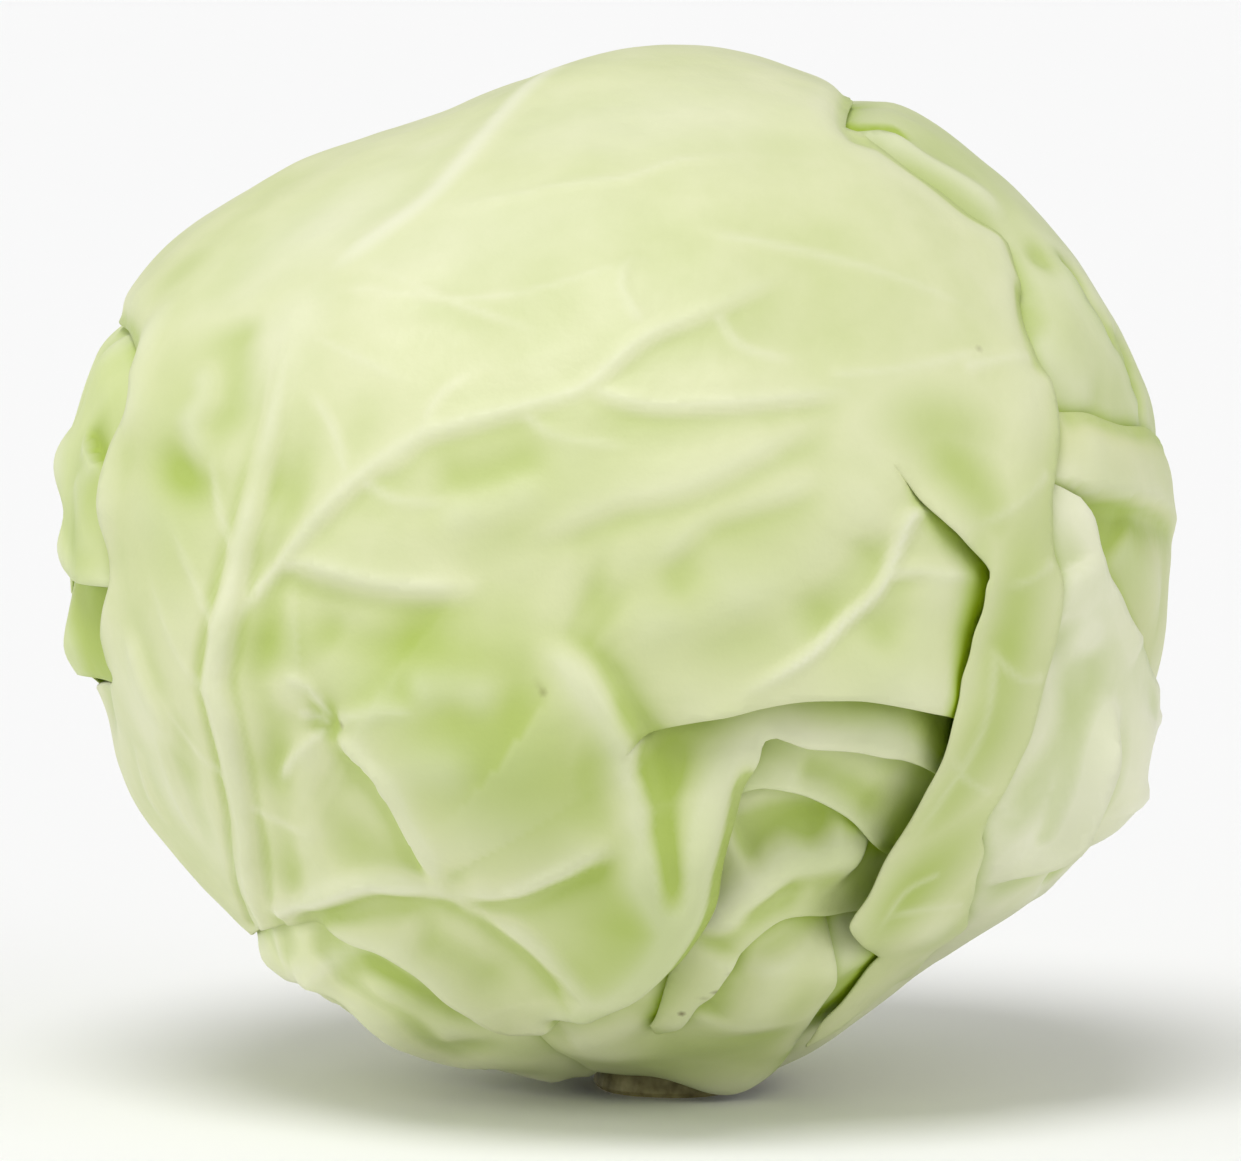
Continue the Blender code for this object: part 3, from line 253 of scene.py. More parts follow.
def curve(points, step):
    """Evenly spaced points on a smooth curve through flat points, ends kept."""
    points = np.asarray(points, float)
    if len(points) > 2:
        ends = np.vstack([2.0 * points[0] - points[1], points, 2.0 * points[-1] - points[-2]])
        t = np.linspace(0.0, 1.0, 12, endpoint=False)[:, None]
        dense = []
        for a, b, c, d in zip(ends[:-3], ends[1:-2], ends[2:-1], ends[3:]):
            dense.append(
                0.5 * (2 * b + (c - a) * t + (2 * a - 5 * b + 4 * c - d) * t**2
                       + (3 * b - a - 3 * c + d) * t**3)
            )
        points = np.vstack(dense + [points[-1:]])
    run = np.concatenate([[0.0], np.cumsum(np.linalg.norm(np.diff(points, axis=0), axis=1))])
    count = max(1, round(run[-1] / step))
    stops = np.linspace(0.0, run[-1], count + 1)
    return np.stack([np.interp(stops, run, points[:, k]) for k in range(2)], axis=1)


def measure(points, line):
    """Distance of points to a line, position along it from 0 to 1, and side (left positive)."""
    best = np.full(len(points), 1e9)
    along = np.zeros(len(points))
    side = np.ones(len(points))
    lengths = np.linalg.norm(np.diff(line, axis=0), axis=1)
    run = np.concatenate([[0.0], np.cumsum(lengths)])
    for k, (a, b) in enumerate(zip(line[:-1], line[1:])):
        step = b - a
        t = np.clip((points - a) @ step / max(step @ step, 1e-9), 0.0, 1.0)
        away = points - (a + t[:, None] * step)
        far = np.hypot(away[:, 0], away[:, 1])
        cross = step[0] * (points[:, 1] - a[1]) - step[1] * (points[:, 0] - a[0])
        nearer = far < best - 1e-7
        best = np.where(nearer, far, best)
        along = np.where(nearer, (run[k] + t * lengths[k]) / run[-1], along)
        side = np.where(nearer, np.where(cross >= 0.0, 1.0, -1.0), side)
    return best, along, side


def inside(points, loop):
    """Whether points lie inside a closed flat loop."""
    within = np.zeros(len(points), bool)
    for a, b in zip(loop, np.roll(loop, -1, axis=0)):
        crosses = (a[1] > points[:, 1]) != (b[1] > points[:, 1])
        rise = b[1] - a[1] if abs(b[1] - a[1]) > 1e-12 else 1e-12
        reach = (b[0] - a[0]) * (points[:, 1] - a[1]) / rise + a[0]
        within ^= crosses & (points[:, 0] < reach)
    return within


def ease(value, low, high):
    """Smooth step from 0 at low to 1 at high."""
    t = np.clip((value - low) / (high - low), 0.0, 1.0)
    return t * t * (3.0 - 2.0 * t)


def fade(along, start, end):
    """Strength along a line that grows from its start and dies off at its end."""
    rise = ease(along, 0.0, start) if start > 0.0 else 1.0
    fall = 1.0 - ease(along, 1.0 - end, 1.0) if end > 0.0 else 1.0
    return rise * fall


def rib(points, line, height, width, start=0.15, end=0.3):
    """Rounded rib, or a groove where the height is negative."""
    far, along, _ = measure(points, line)
    return height * np.exp(-((far / width) ** 2)) * fade(along, start, end)


def fold(points, line, lift, drop, lift_reach, drop_reach, start=0.1, end=0.1, width=1.0):
    """Fold along a line: lifted lip on its left, dropped ground on its right."""
    far, along, side = measure(points, line)
    left = lift * np.exp(-far / lift_reach)
    right = -drop * np.exp(-far / drop_reach)
    signed = far * side
    share = ease(signed, -width, 0.0)
    return (share * left + (1.0 - share) * right) * fade(along, start, end)


def mound(points, centre, radius, height, stretch=1.0, turn=0.0):
    """Rounded swelling, or a dent where the height is negative."""
    a = math.radians(turn)
    away = points - centre
    x = (away[:, 0] * math.cos(a) + away[:, 1] * math.sin(a)) / (radius * stretch)
    y = (-away[:, 0] * math.sin(a) + away[:, 1] * math.cos(a)) / radius
    return height * np.exp(-(x * x + y * y))


def ripple(directions, seed, size, height):
    """Soft irregular waviness from a few random plane waves."""
    rng = np.random.default_rng(seed)
    total = np.zeros(len(directions))
    turns = 2.0 * math.pi * CHART_RADIUS
    for _ in range(7):
        wave = unit(rng.normal(size=3)) * rng.uniform(0.7, 1.4) * turns / size
        total = total + np.sin(directions @ wave + rng.uniform(0.0, 2.0 * math.pi))
    return height * total / 3.0


class Leaf:
    """One leaf: its outline, its relief and how its surface lies on the head."""

    def __init__(self, name, pole, step=MESH_STEP, sink=0.0, thickness=LEAF_THICKNESS):
        self.name = name
        self.seed = sum(map(ord, name))
        self.step = step * MESH_SCALE
        self.sink = sink
        self.thickness = thickness
        self.chart = Chart(directions_of([pole])[0])
        self.edges = []
        self.creases = []
        self.terms = []
        self.shifts = []
        self.veins = []
        self.tints = []
        self.spots = []

    def line(self, points):
        """A smooth flat line through drawn points, at this leaf's mesh spacing."""
        return curve(self.chart.flat(directions_of(points)), self.step)

    def fine(self, points):
        """A smooth flat line for measuring reliefs."""
        return curve(self.chart.flat(directions_of(points)), 2.5)

    def spot(self, x, y):
        """Flat position of one drawn point."""
        return self.chart.flat(directions_of([(x, y)]))[0]

    def outline(self, edges):
        """Set the outline: edges through drawn points, or ready flat lines."""
        self.edges = [edge if isinstance(edge, np.ndarray) else self.line(edge) for edge in edges]

    def beside(self, line, amount):
        """A flat line moved to its left, less and less towards its end."""
        ahead = unit(np.gradient(line, axis=0))
        aside = np.stack([-ahead[:, 1], ahead[:, 0]], axis=1)
        left = np.linalg.norm(line - line[-1], axis=1)
        return line + aside * (amount * ease(left, 0.0, CUT_TAPER))[:, None]

    def loop(self):
        """The closed outline, each corner once."""
        return np.vstack([edge[:-1] for edge in self.edges])

    def rib(self, points, height, width, start=0.15, end=0.3, crease=False, pale=None):
        """A rib or groove along drawn points, and how pale a vein it is."""
        line = points if isinstance(points, np.ndarray) else self.fine(points)
        self.terms.append(lambda flat: rib(flat, line, height, width, start, end))
        if pale is None:
            pale = min(0.9, 0.2 + 0.5 * height) if 0.0 < height and width < VEIN_WIDEST else 0.0
        if pale:
            self.veins.append(lambda flat: rib(flat, line, pale, VEIN_BLUSH * width, start, end))
        if crease:
            self.creases.append(self.line(points))

    def fold(self, points, lift, drop, lift_reach, drop_reach, start=0.1, end=0.1, width=1.0):
        """A fold along drawn points, their line kept as edges, or along a ready flat line."""
        ready = isinstance(points, np.ndarray)
        line = points if ready else self.fine(points)
        self.terms.append(
            lambda flat: fold(flat, line, lift, drop, lift_reach, drop_reach, start, end, width)
        )
        if not ready:
            self.creases.append(self.line(points))

    def mound(self, x, y, radius, height, stretch=1.0, turn=0.0):
        """A swelling or dent at a drawn point."""
        centre = self.spot(x, y)
        self.terms.append(lambda flat: mound(flat, centre, radius, height, stretch, turn))

    def wave(self, seed, size, height, stretch=(1.0, 1.0, 1.0)):
        """Soft waviness over the whole leaf."""
        self.terms.append(
            lambda flat: ripple(self.chart.round(flat) * stretch, seed, size, height)
        )

    def tint(self, x, y, radius, strength, stretch=1.0, turn=0.0):
        """A greener patch round a drawn point."""
        centre = self.spot(x, y)
        self.tints.append(lambda flat: mound(flat, centre, radius, strength, stretch, turn))

    def bloom(self, x, y, radius, strength, stretch=1.0, turn=0.0):
        """A paler, creamier patch round a drawn point."""
        centre = self.spot(x, y)
        self.veins.append(lambda flat: mound(flat, centre, radius, strength, stretch, turn))

    def shadow_line(self, points, width, strength=1.0):
        """A greener line along drawn points: painted shadow in a slit or under a margin."""
        line = self.fine(points)
        self.tints.append(lambda flat: rib(flat, line, strength, width, 0.15, 0.15))

    def fleck(self, x, y, radius, strength=1.0):
        """A small brown spot at a drawn point."""
        centre = self.spot(x, y)
        self.spots.append(lambda flat: mound(flat, centre, radius, strength))

    def mask(self, parts, flat):
        """The strongest of several marks, from 0 to 1."""
        strongest = np.zeros(len(flat))
        for part in parts:
            strongest = np.maximum(strongest, part(flat))
        return np.clip(strongest, 0.0, 1.0)

    def margin(self, points, height, reach, push=0.0, start=0.0, end=0.0, side=0.0, left_of=None):
        """Lift, drop or tuck sideways the ground near a margin, on one side of it or on both."""
        line = points if isinstance(points, np.ndarray) else self.fine(points)

        def near(flat):
            far, along, hand = measure(flat, line)
            strength = np.exp(-((far / reach) ** 2)) * fade(along, start, end)
            kept = hand * side >= 0.0
            if left_of is not None:
                kept &= measure(flat, left_of)[2] >= 0.0
            return np.where(kept, strength, 0.0)

        self.terms.append(lambda flat: height * near(flat))
        if push:
            ahead = line[-1] - line[0]
            across = np.array([-ahead[1], ahead[0]]) / np.linalg.norm(ahead)
            self.shifts.append(lambda flat: (push * near(flat))[:, None] * across)

    def relief(self, flat):
        """Height of the leaf's own shape over the smooth head."""
        return sum((term(flat) for term in self.terms), np.zeros(len(flat)))

    def sheet(self, above):
        """Flat mesh of the leaf and the direction and distance of each of its points."""
        loop = self.loop()
        low = loop.min(axis=0)
        high = loop.max(axis=0)
        row = self.step * math.sqrt(3.0) / 2.0
        rows = np.arange(low[1], high[1], row)
        grid = [
            (x + (k % 2) * self.step / 2.0, y)
            for k, y in enumerate(rows)
            for x in np.arange(low[0], high[0], self.step)
        ]
        grid = np.array(grid)
        closed = np.vstack([loop, loop[:1]])
        clear = inside(grid, loop) & (measure(grid, closed)[0] > OUTLINE_ROOM * self.step)
        creases = []
        for crease in self.creases:
            away = measure(crease, closed)[0]
            kept = inside(crease, loop) & (away > CREASE_END_ROOM * self.step)
            for other in creases:
                kept &= measure(crease, other)[0] > CREASE_ROOM * self.step
            run = crease[kept]
            if len(run) > 1 and np.all(np.diff(np.flatnonzero(kept)) == 1):
                clear &= measure(grid, run)[0] > CREASE_ROOM * self.step
                creases.append(run)
        grid = grid[clear]
        points = [*loop]
        edges = [(k, (k + 1) % len(loop)) for k in range(len(loop))]
        for run in creases:
            first = len(points)
            points += [*run]
            edges += [(first + k, first + k + 1) for k in range(len(run) - 1)]
        points += [*grid]
        made = delaunay_2d_cdt(
            [Vector(p) for p in points], edges, [list(range(len(loop)))], 1, 1e-5
        )
        flat = np.array([tuple(p) for p in made[0]])
        faces = np.array([tuple(f) for f in made[2]])
        moved = flat + sum((shift(flat) for shift in self.shifts), np.zeros_like(flat))
        directions = self.chart.round(moved)
        height = form_radius(directions) + self.relief(flat) - self.sink
        edge = measure(flat, closed)[0]
        height = height + frill(directions, self.seed) * np.exp(-edge / FRILL_REACH)
        height = height + ripple(directions, self.seed + 60, BLADE_WAVE_SIZE, BLADE_WAVE_HEIGHT)
        height = height + ripple(directions, self.seed + 70, SKIN_WAVE_SIZE, SKIN_WAVE_HEIGHT)
        for other in above:
            height = height - other.cover(directions)
        return flat, faces, directions, above_level(directions, height, FLOOR_CLEARANCE), edge

    def cover(self, directions):
        """How far this leaf presses down what lies under it, out to a short way past its margin."""
        flat = self.chart.flat(directions)
        loop = self.loop()
        far = measure(flat, np.vstack([loop, loop[:1]]))[0]
        signed = np.where(inside(flat, loop), far, -far)
        return (self.thickness + LEAF_GAP) * ease(signed, -TUCK_REACH, 1.0)


def above_level(directions, height, level):
    """Heights cut back so that nothing reaches down below a level over the stem's flat face."""
    down = -(directions @ AXES)[:, 2]
    room = np.where(down > 0.1, (HEAD_CENTRE[2] - level) / np.maximum(down, 0.1), 1e6)
    return np.minimum(height, room)


def frill(directions, seed):
    """Small waves of a leaf's free margin."""
    return ripple(directions, seed + 50, FRILL_SIZE, FRILL_HEIGHT)


def neighbour_mean(values, faces):
    """Mean of each point's neighbours."""
    total = np.zeros(len(values))
    count = np.zeros(len(values))
    for a, b in ((0, 1), (1, 2), (2, 0)):
        for i, j in ((a, b), (b, a)):
            np.add.at(total, faces[:, i], values[faces[:, j]])
            np.add.at(count, faces[:, i], 1.0)
    return total / np.maximum(count, 1.0)


def point_normals(points, faces):
    """Outward normals of a mesh's points."""
    a, b, c = (points[faces[:, k]] for k in range(3))
    normal = np.cross(b - a, c - a)
    total = np.zeros_like(points)
    for k in range(3):
        np.add.at(total, faces[:, k], normal)
    return unit(total)


def tree_of(points, faces):
    """Search tree over a mesh."""
    return BVHTree.FromPolygons(points.tolist(), faces.tolist())


def joined_tree(surfaces):
    """Search tree over several meshes."""
    firsts = np.cumsum([0] + [len(points) for points, _ in surfaces])
    faces = [faces + first for (_, faces), first in zip(surfaces, firsts)]
    return tree_of(np.vstack([points for points, _ in surfaces]), np.vstack(faces))


def first_hit(tree, direction):
    """Distance and face of the first surface met going out from the head's centre."""
    hit = tree.ray_cast(Vector((0.0, 0.0, 0.0)), Vector(direction))
    return (None, None) if hit[0] is None else (hit[3], hit[2])


def settle(directions, height, faces, covers, gap, rounds=3, spread=20):
    """Press a surface down until it clears the inner faces of everything over it."""
    height = height.copy()
    for _ in range(rounds):
        need = np.zeros(len(height))
        for tree, points in covers:
            for k, direction in enumerate(directions):
                far, face = first_hit(tree, direction)
                if far is not None:
                    need[k] = max(need[k], height[k] + gap - far)
            own = tree_of(directions * height[:, None], faces)
            reach = np.linalg.norm(points, axis=1)
            for point, far in zip(points, reach):
                met, face = first_hit(own, point / far)
                if met is not None and met + gap > far:
                    for corner in faces[face]:
                        need[corner] = max(need[corner], met + gap - far)
        if need.max() < 0.01:
            break
        press = need
        for _ in range(spread):
            press = np.maximum(need, neighbour_mean(press, faces))
        height -= press
    return height


def front_leaf():
    """The wrapper leaf with its midrib at the left and its folded margin at the right."""
    leaf = Leaf("leaf_front", (560, 520), step=FRONT_MESH_STEP)
    strap_low = leaf.line([(849, 908), (867, 883), (884, 852), (900, 820), (915, 788), (932, 754),
                           (943, 722)])
    strap_high = leaf.line([(943, 722), (951, 697), (954, 676), (961, 654), (965, 632), (972, 610),
                            (974, 587), (977, 569), (953, 541), (934, 523), (915, 503), (900, 482),
                            (887, 465)])
    strap = np.vstack([strap_low, strap_high[1:]])
    overhang = leaf.line([(939, 724), (900, 708), (860, 699), (828, 697), (786, 700), (742, 709),
                          (694, 720), (661, 731), (622, 751)])
    strap_right = leaf.beside(strap, -CUT_HALF_WIDTH)
    strap_left = leaf.beside(strap_high, CUT_HALF_WIDTH)
    over_low = leaf.beside(overhang, CUT_HALF_WIDTH)
    over_top = leaf.beside(overhang, -CUT_HALF_WIDTH)
    band_end = leaf.spot(917, 774)
    flap_tip = leaf.chart.flat(directions_of([(846, 921), (856, 937), (880, 958)]))
    leaf.outline([
        [(265, 925), (303, 930), (349, 941), (380, 949), (406, 962), (429, 980), (462, 1007),
         (487, 1023), (512, 1033), (541, 1030), (574, 1024), (600, 1018)],
        [(600, 1018), (641, 994), (663, 974), (680, 953), (694, 931), (706, 908), (714, 888),
         (721, 860), (736, 822), (747, 793), (758, 762), (765, 749), (777, 745)],
        [(777, 745), (790, 747), (809, 751), (860, 754), (900, 765), (917, 774)],
        curve([band_end, over_low[0]], leaf.step),
        over_low,
        over_top[::-1],
        curve([over_top[0], strap_left[1]], leaf.step),
        strap_left[1:],
        strap_right[::-1],
        curve([strap_right[0], *flap_tip], leaf.step),
        [(880, 958), (862, 981), (843, 1003), (822, 1026), (806, 1046)],
        [(806, 1046), (839, 1024), (880, 1001), (918, 976), (948, 943), (962, 925)],
        [(962, 925), (971, 888), (980, 855), (979, 836), (984, 815)],
        [(984, 815), (1008, 765), (1021, 739), (1031, 712), (1040, 681), (1048, 652), (1054, 619),
         (1058, 581), (1051, 552), (1046, 504), (1052, 472), (1055, 414), (1047, 386),
         (1032, 353), (1029, 310), (1026, 277), (1012, 239)],
        [(1012, 239), (1000, 226), (969, 205), (923, 172), (880, 146), (846, 124)],
        [(846, 124), hidden(66, 96), hidden(80, 110), hidden(102, 118), hidden(125, 116),
         hidden(146, 108)],
        [hidden(146, 108), hidden(152, 92), (122, 330), (137, 372), (135, 407), (117, 448),
         (111, 497), (108, 545), (109, 590), (104, 637)],
        [(104, 637), (108, 661), (111, 683), hidden(192.5, 96), hidden(203, 99), hidden(216, 98),
         hidden(223, 94), (265, 925)],
    ])
    midrib = [(265, 925), (253, 891), (242, 819), (236, 776), (229, 719), (221, 681), (225, 652),
              (233, 600), (241, 545), (254, 490), (270, 425), (287, 355), (304, 290)]
    leaf.rib(midrib, 1.2, 2.6, start=0.0, end=0.6, pale=0.4, crease=True)
    leaf.rib([(x - 17, y) for x, y in midrib], -0.8, 1.2, start=0.0, end=0.6)
    leaf.rib([(x + 15, y) for x, y in midrib], -0.6, 1.4, start=0.0, end=0.6)
    leaf.rib([(x + 38, y) for x, y in midrib], -1.2, 5.0, start=0.0, end=0.5)
    leaf.rib([(304, 290), (350, 262), (400, 226), (438, 198), (476, 157), (510, 116), (553, 78)],
             0.7, 4.2, start=0.2, end=0.0, pale=0.8)
    for points, lift, drop, lift_reach, drop_reach, width in (
        ([(244, 598), (273, 569), (360, 478), (398, 459), (424, 437), (472, 424), (519, 411),
          (583, 392)], 0.4, 0.7, 9.0, 12.0, 3.8),
        ([(273, 569), (303, 563), (376, 580), (443, 586), (493, 583)], 0.7, 1.2, 7.0, 12.0, 5.5),
        ([(513, 539), (551, 526), (590, 510), (625, 498), (679, 488), (727, 466), (790, 432),
          (838, 412)], 0.5, 0.9, 8.0, 11.0, 5.0),
        ([(637, 565), (666, 549), (704, 517), (743, 504), (790, 488), (822, 463)],
         0.4, 0.8, 7.0, 9.0, 4.6),
        ([(583, 392), (647, 341), (711, 314), (790, 275)], 0.25, 0.4, 8.0, 10.0, 3.2),
        ([(583, 392), (647, 408), (711, 407), (774, 402), (860, 392)], 0.3, 0.6, 8.0, 10.0, 3.4),
        ([(652, 910), (645, 860), (637, 814), (633, 787), (624, 766), (624, 747), (611, 727),
          (593, 692), (567, 663), (523, 645)], 2.0, 2.6, 11.0, 12.0, 6.0),
        ([(334, 726), (352, 743), (382, 765), (400, 789), (423, 830), (443, 868), (455, 880)],
         1.8, 2.6, 10.0, 12.0, 4.5),
        ([(268, 913), (307, 903), (358, 884), (393, 882), (446, 884), (480, 905), (505, 920),
          (543, 946), (580, 980), (594, 1008)], 0.4, 2.4, 6.0, 11.0, 6.0),
        ([(455, 886), (508, 884), (552, 862), (584, 844), (622, 822)], 1.2, 1.6, 8.0, 10.0, 4.0),
    ):
        leaf.fold(points, lift, drop, lift_reach, drop_reach, start=0.2, end=0.25, width=width)
    for points, height, width in (
        ([(229, 633), (273, 569), (360, 478), (424, 437), (519, 411), (583, 392), (647, 341),
          (711, 314), (790, 275)], 0.5, 1.5),
        ([(583, 392), (647, 408), (711, 407), (774, 402), (860, 392)], 0.35, 1.4),
        ([(446, 216), (489, 208), (553, 193), (624, 183), (681, 165), (778, 165)], 0.3, 1.3),
        ([(273, 569), (303, 563), (376, 580), (443, 586), (493, 583)], 0.4, 1.6),
        ([(882, 579), (899, 572), (922, 573), (963, 581)], 0.4, 1.4),
        ([(921, 510), (909, 512), (898, 520), (894, 533), (888, 558), (880, 581), (865, 600),
          (846, 615), (800, 655), (720, 700)], 1.0, 1.25),
        ([(953, 371), (1032, 357)], 0.3, 1.5),
        ([(330, 720), (314, 689), (297, 679), (279, 676)], 0.6, 1.3),
        ([(328, 722), (311, 715), (294, 711)], 0.5, 1.4),
        ([(326, 728), (300, 751), (282, 771), (273, 789)], 0.6, 1.4),
        ([(336, 718), (376, 708), (400, 704), (440, 704)], 0.5, 1.8),
        ([(334, 726), (352, 743), (382, 765), (400, 789), (423, 830), (443, 868), (455, 880)],
         0.6, 2.0),
        ([(268, 913), (306, 905), (358, 884), (393, 882), (446, 884), (480, 905)], 1.1, 2.6),
        ([(508, 884), (552, 862), (584, 844)], 0.6, 1.7),
        ([(300, 300), (285, 380), (262, 470)], 0.4, 2.0),
    ):
        leaf.rib(points, height, width, start=0.1, end=0.3)
    for points, height, width in (
        ([(480, 905), (505, 920), (543, 946), (580, 980), (594, 1008)], 0.8, 3.0),
        ([(203, 352), (208, 396), (193, 427), (208, 486)], 0.9, 3.2),
        ([(268, 913), (306, 905), (358, 884), (393, 882), (446, 884), (480, 905)], 1.2, 6.0),
        ([(400, 930), (460, 960), (520, 1000)], -1.2, 6.0),
        ([(640, 800), (660, 850), (668, 900)], -0.8, 5.0),
        ([(290, 690), (285, 740), (255, 800)], -0.8, 5.0),
        ([(126, 618), (136, 645), (162, 710), (199, 780)], 1.0, 3.0),
        ([(160, 720), (175, 780), (205, 850)], 0.7, 2.2),
        ([(138, 740), (150, 790), (175, 830)], 0.7, 2.4),
        ([(880, 520), (868, 560), (840, 590), (780, 640)], -1.4, 6.0),
        ([(905, 560), (890, 610), (850, 650)], -0.8, 5.0),
        ([(290, 935), (340, 912), (400, 912), (460, 940)], -1.4, 5.5),
        ([(175, 700), (190, 790), (225, 870)], -1.2, 5.0),
        ([(560, 590), (640, 600), (720, 560)], -1.2, 8.0),
        ([(250, 520), (330, 440), (420, 400)], -0.9, 8.0),
        ([(240, 300), (235, 380), (225, 470)], -1.6, 7.0),
        ([(420, 480), (500, 470), (570, 440)], -0.8, 5.0),
        ([(430, 520), (500, 505), (560, 480)], 0.7, 4.0),
        ([(600, 620), (700, 610), (800, 570)], 0.8, 5.0),
        ([(300, 620), (380, 640), (470, 625)], -1.0, 5.0),
        ([(410, 690), (460, 680), (520, 700)], 0.9, 4.0),
        ([(370, 790), (430, 760), (500, 760)], 0.7, 5.0),
    ):
        leaf.rib(points, height, width, start=0.25, end=0.35, pale=0.0)
    leaf.rib([(199, 283), (160, 330), (144, 371), (136, 407), (118, 445), (112, 497), (109, 560)],
             1.5, 4.5, start=0.3, end=0.2)
    leaf.rib([(1020, 300), (1024, 400), (1020, 500), (1030, 600), (1010, 690), (960, 800),
              (905, 880)], 0.8, 7.0)
    for points in (
        [(1045, 470), (1015, 500), (985, 520), (950, 528)],
        [(1050, 560), (1020, 580), (990, 585)],
        [(1040, 675), (1010, 676), (975, 640)],
        [(985, 790), (955, 772), (935, 740)],
        [(990, 640), (975, 720), (935, 790), (890, 860)],
        [(960, 900), (920, 905), (870, 915)],
        [(940, 870), (900, 890), (870, 930)],
        [(820, 380), (900, 372), (1000, 350)],
        [(700, 240), (820, 262), (930, 300), (1000, 330)],
        [(300, 330), (380, 370), (420, 390)],
        [(330, 290), (460, 300), (560, 290), (700, 250)],
        [(360, 262), (420, 290), (520, 330), (560, 350)],
        [(215, 700), (180, 640), (150, 560)],
        [(225, 640), (190, 560), (165, 500)],
        [(236, 560), (215, 500), (208, 440)],
        [(228, 780), (190, 740), (165, 690)],
        [(240, 800), (290, 830), (330, 835)],
        [(350, 480), (330, 420), (300, 380)],
        [(424, 437), (440, 400), (480, 370)],
        [(519, 411), (560, 440), (640, 450)],
        [(360, 478), (400, 500), (470, 505)],
        [(640, 330), (620, 290), (640, 250)],
        [(711, 314), (740, 350), (800, 365)],
    ):
        leaf.rib(points, 0.2, 1.3, start=0.1, end=0.4, pale=0.28)
    for x, y, radius, height, stretch, turn in (
        (470, 750, 18.0, 4.0, 1.35, -35.0),
        (325, 721, 4.5, -2.2, 1.0, 0.0),
        (350, 840, 9.0, -2.0, 1.5, -60.0),
        (660, 770, 7.0, -2.0, 1.0, 0.0),
        (700, 610, 22.0, 1.6, 1.6, 20.0),
        (180, 472, 7.0, -1.8, 1.4, -30.0),
        (100, 702, 10.0, -3.0, 1.0, 0.0),
        (690, 860, 15.0, 3.4, 1.6, 65.0),
        (600, 930, 16.0, 2.4, 1.4, 60.0),
        (925, 925, 9.0, 2.0, 1.0, 0.0),
        (760, 250, 30.0, 0.8, 1.5, 0.0),
    ):
        leaf.mound(x, y, radius, height, stretch, turn)
    leaf.margin([hidden(146, 108), hidden(152, 92), (122, 330), (137, 372), (135, 407)], -1.9, 4.0,
                end=0.3)
    leaf.margin(overhang, 1.8, 10.0, end=0.25, side=-1.0, left_of=strap)
    leaf.margin(overhang, -4.2, 9.0, push=-4.0, end=0.3, side=1.0, left_of=strap)
    leaf.margin([(917, 774), (939, 724)], -1.4, 6.0, push=-5.0, left_of=strap)
    rolled = [(541, 1030), (574, 1024), (600, 1018), (641, 994), (663, 974), (680, 953), (694, 931),
              (706, 908), (714, 888), (721, 860), (736, 822), (747, 793), (759, 758)]
    leaf.margin(rolled, -6.4, 3.4, start=0.1, end=0.1)
    leaf.margin(rolled, 4.6, 13.0, start=0.2, end=0.3)
    leaf.margin([(303, 930), (349, 941), (406, 962), (462, 1007), (505, 1032)], 1.4, 5.0,
                start=0.2, end=0.2)
    leaf.margin(strap, 1.2, 10.0, end=0.2, side=-1.0)
    leaf.margin(strap_high, -1.7, 9.0, push=-4.0, end=0.3, side=1.0)
    leaf.margin([(1032, 353), (1029, 310), (1026, 277), (1012, 239), (1000, 226), (969, 205),
                 (923, 172), (880, 146), (846, 124), hidden(66, 96), hidden(80, 110)],
                -1.9, 4.0, start=0.1, end=0.1)
    leaf.margin([(1046, 386), (1032, 353), (1029, 310), (1026, 277)], -1.0, 4.0, start=0.2, end=0.2)
    leaf.wave(11, 60.0, 0.7)
    leaf.wave(12, 34.0, 0.35)
    leaf.wave(13, 22.0, 0.22, stretch=(0.45, 1.0, 1.0))
    for x, y, radius, strength, stretch, turn in (
        (430, 675, 13.0, 0.85, 2.0, 5.0),
        (500, 745, 18.0, 0.95, 1.5, -35.0),
        (640, 905, 18.0, 0.9, 1.6, 60.0),
        (700, 590, 22.0, 0.45, 1.6, 20.0),
        (880, 640, 14.0, 0.4, 1.6, 60.0),
        (950, 785, 8.0, 0.7, 2.5, 62.0),
        (590, 760, 8.0, 0.8, 1.6, 70.0),
        (290, 640, 8.0, 0.7, 2.0, 0.0),
        (175, 480, 14.0, 0.6, 2.2, 80.0),
        (185, 270, 8.0, 0.5, 1.5, 40.0),
        (430, 970, 11.0, 0.35, 2.4, -30.0),
        (960, 480, 7.0, 0.7, 2.6, -50.0),
        (1005, 630, 9.0, 0.75, 4.0, 82.0),
        (985, 720, 9.0, 0.75, 3.0, 68.0),
        (912, 880, 11.0, 0.8, 2.4, 60.0),
        (935, 930, 8.0, 0.5, 1.6, 30.0),
        (930, 425, 8.0, 0.6, 1.6, 0.0),
        (530, 475, 15.0, 0.45, 2.0, 15.0),
        (780, 150, 8.0, 0.3, 1.6, 0.0),
        (690, 930, 9.0, 0.6, 2.2, 60.0),
        (600, 1000, 6.0, 0.7, 2.5, 20.0),
        (680, 770, 7.0, 0.7, 2.2, 25.0),
        (870, 730, 6.0, 0.6, 2.5, -15.0),
        (960, 600, 5.0, 0.7, 4.0, 80.0),
    ):
        leaf.tint(x, y, radius, strength, stretch, turn)
    for x, y, radius in ((338, 720, 0.4), (346, 721, 0.35), (540, 680, 0.5), (546, 688, 0.35),
                         (455, 786, 0.3), (490, 617, 0.3), (594, 1007, 0.6), (363, 990, 0.4),
                         (972, 353, 0.3), (622, 748, 0.4)):
        leaf.fleck(x, y, radius, 0.4)
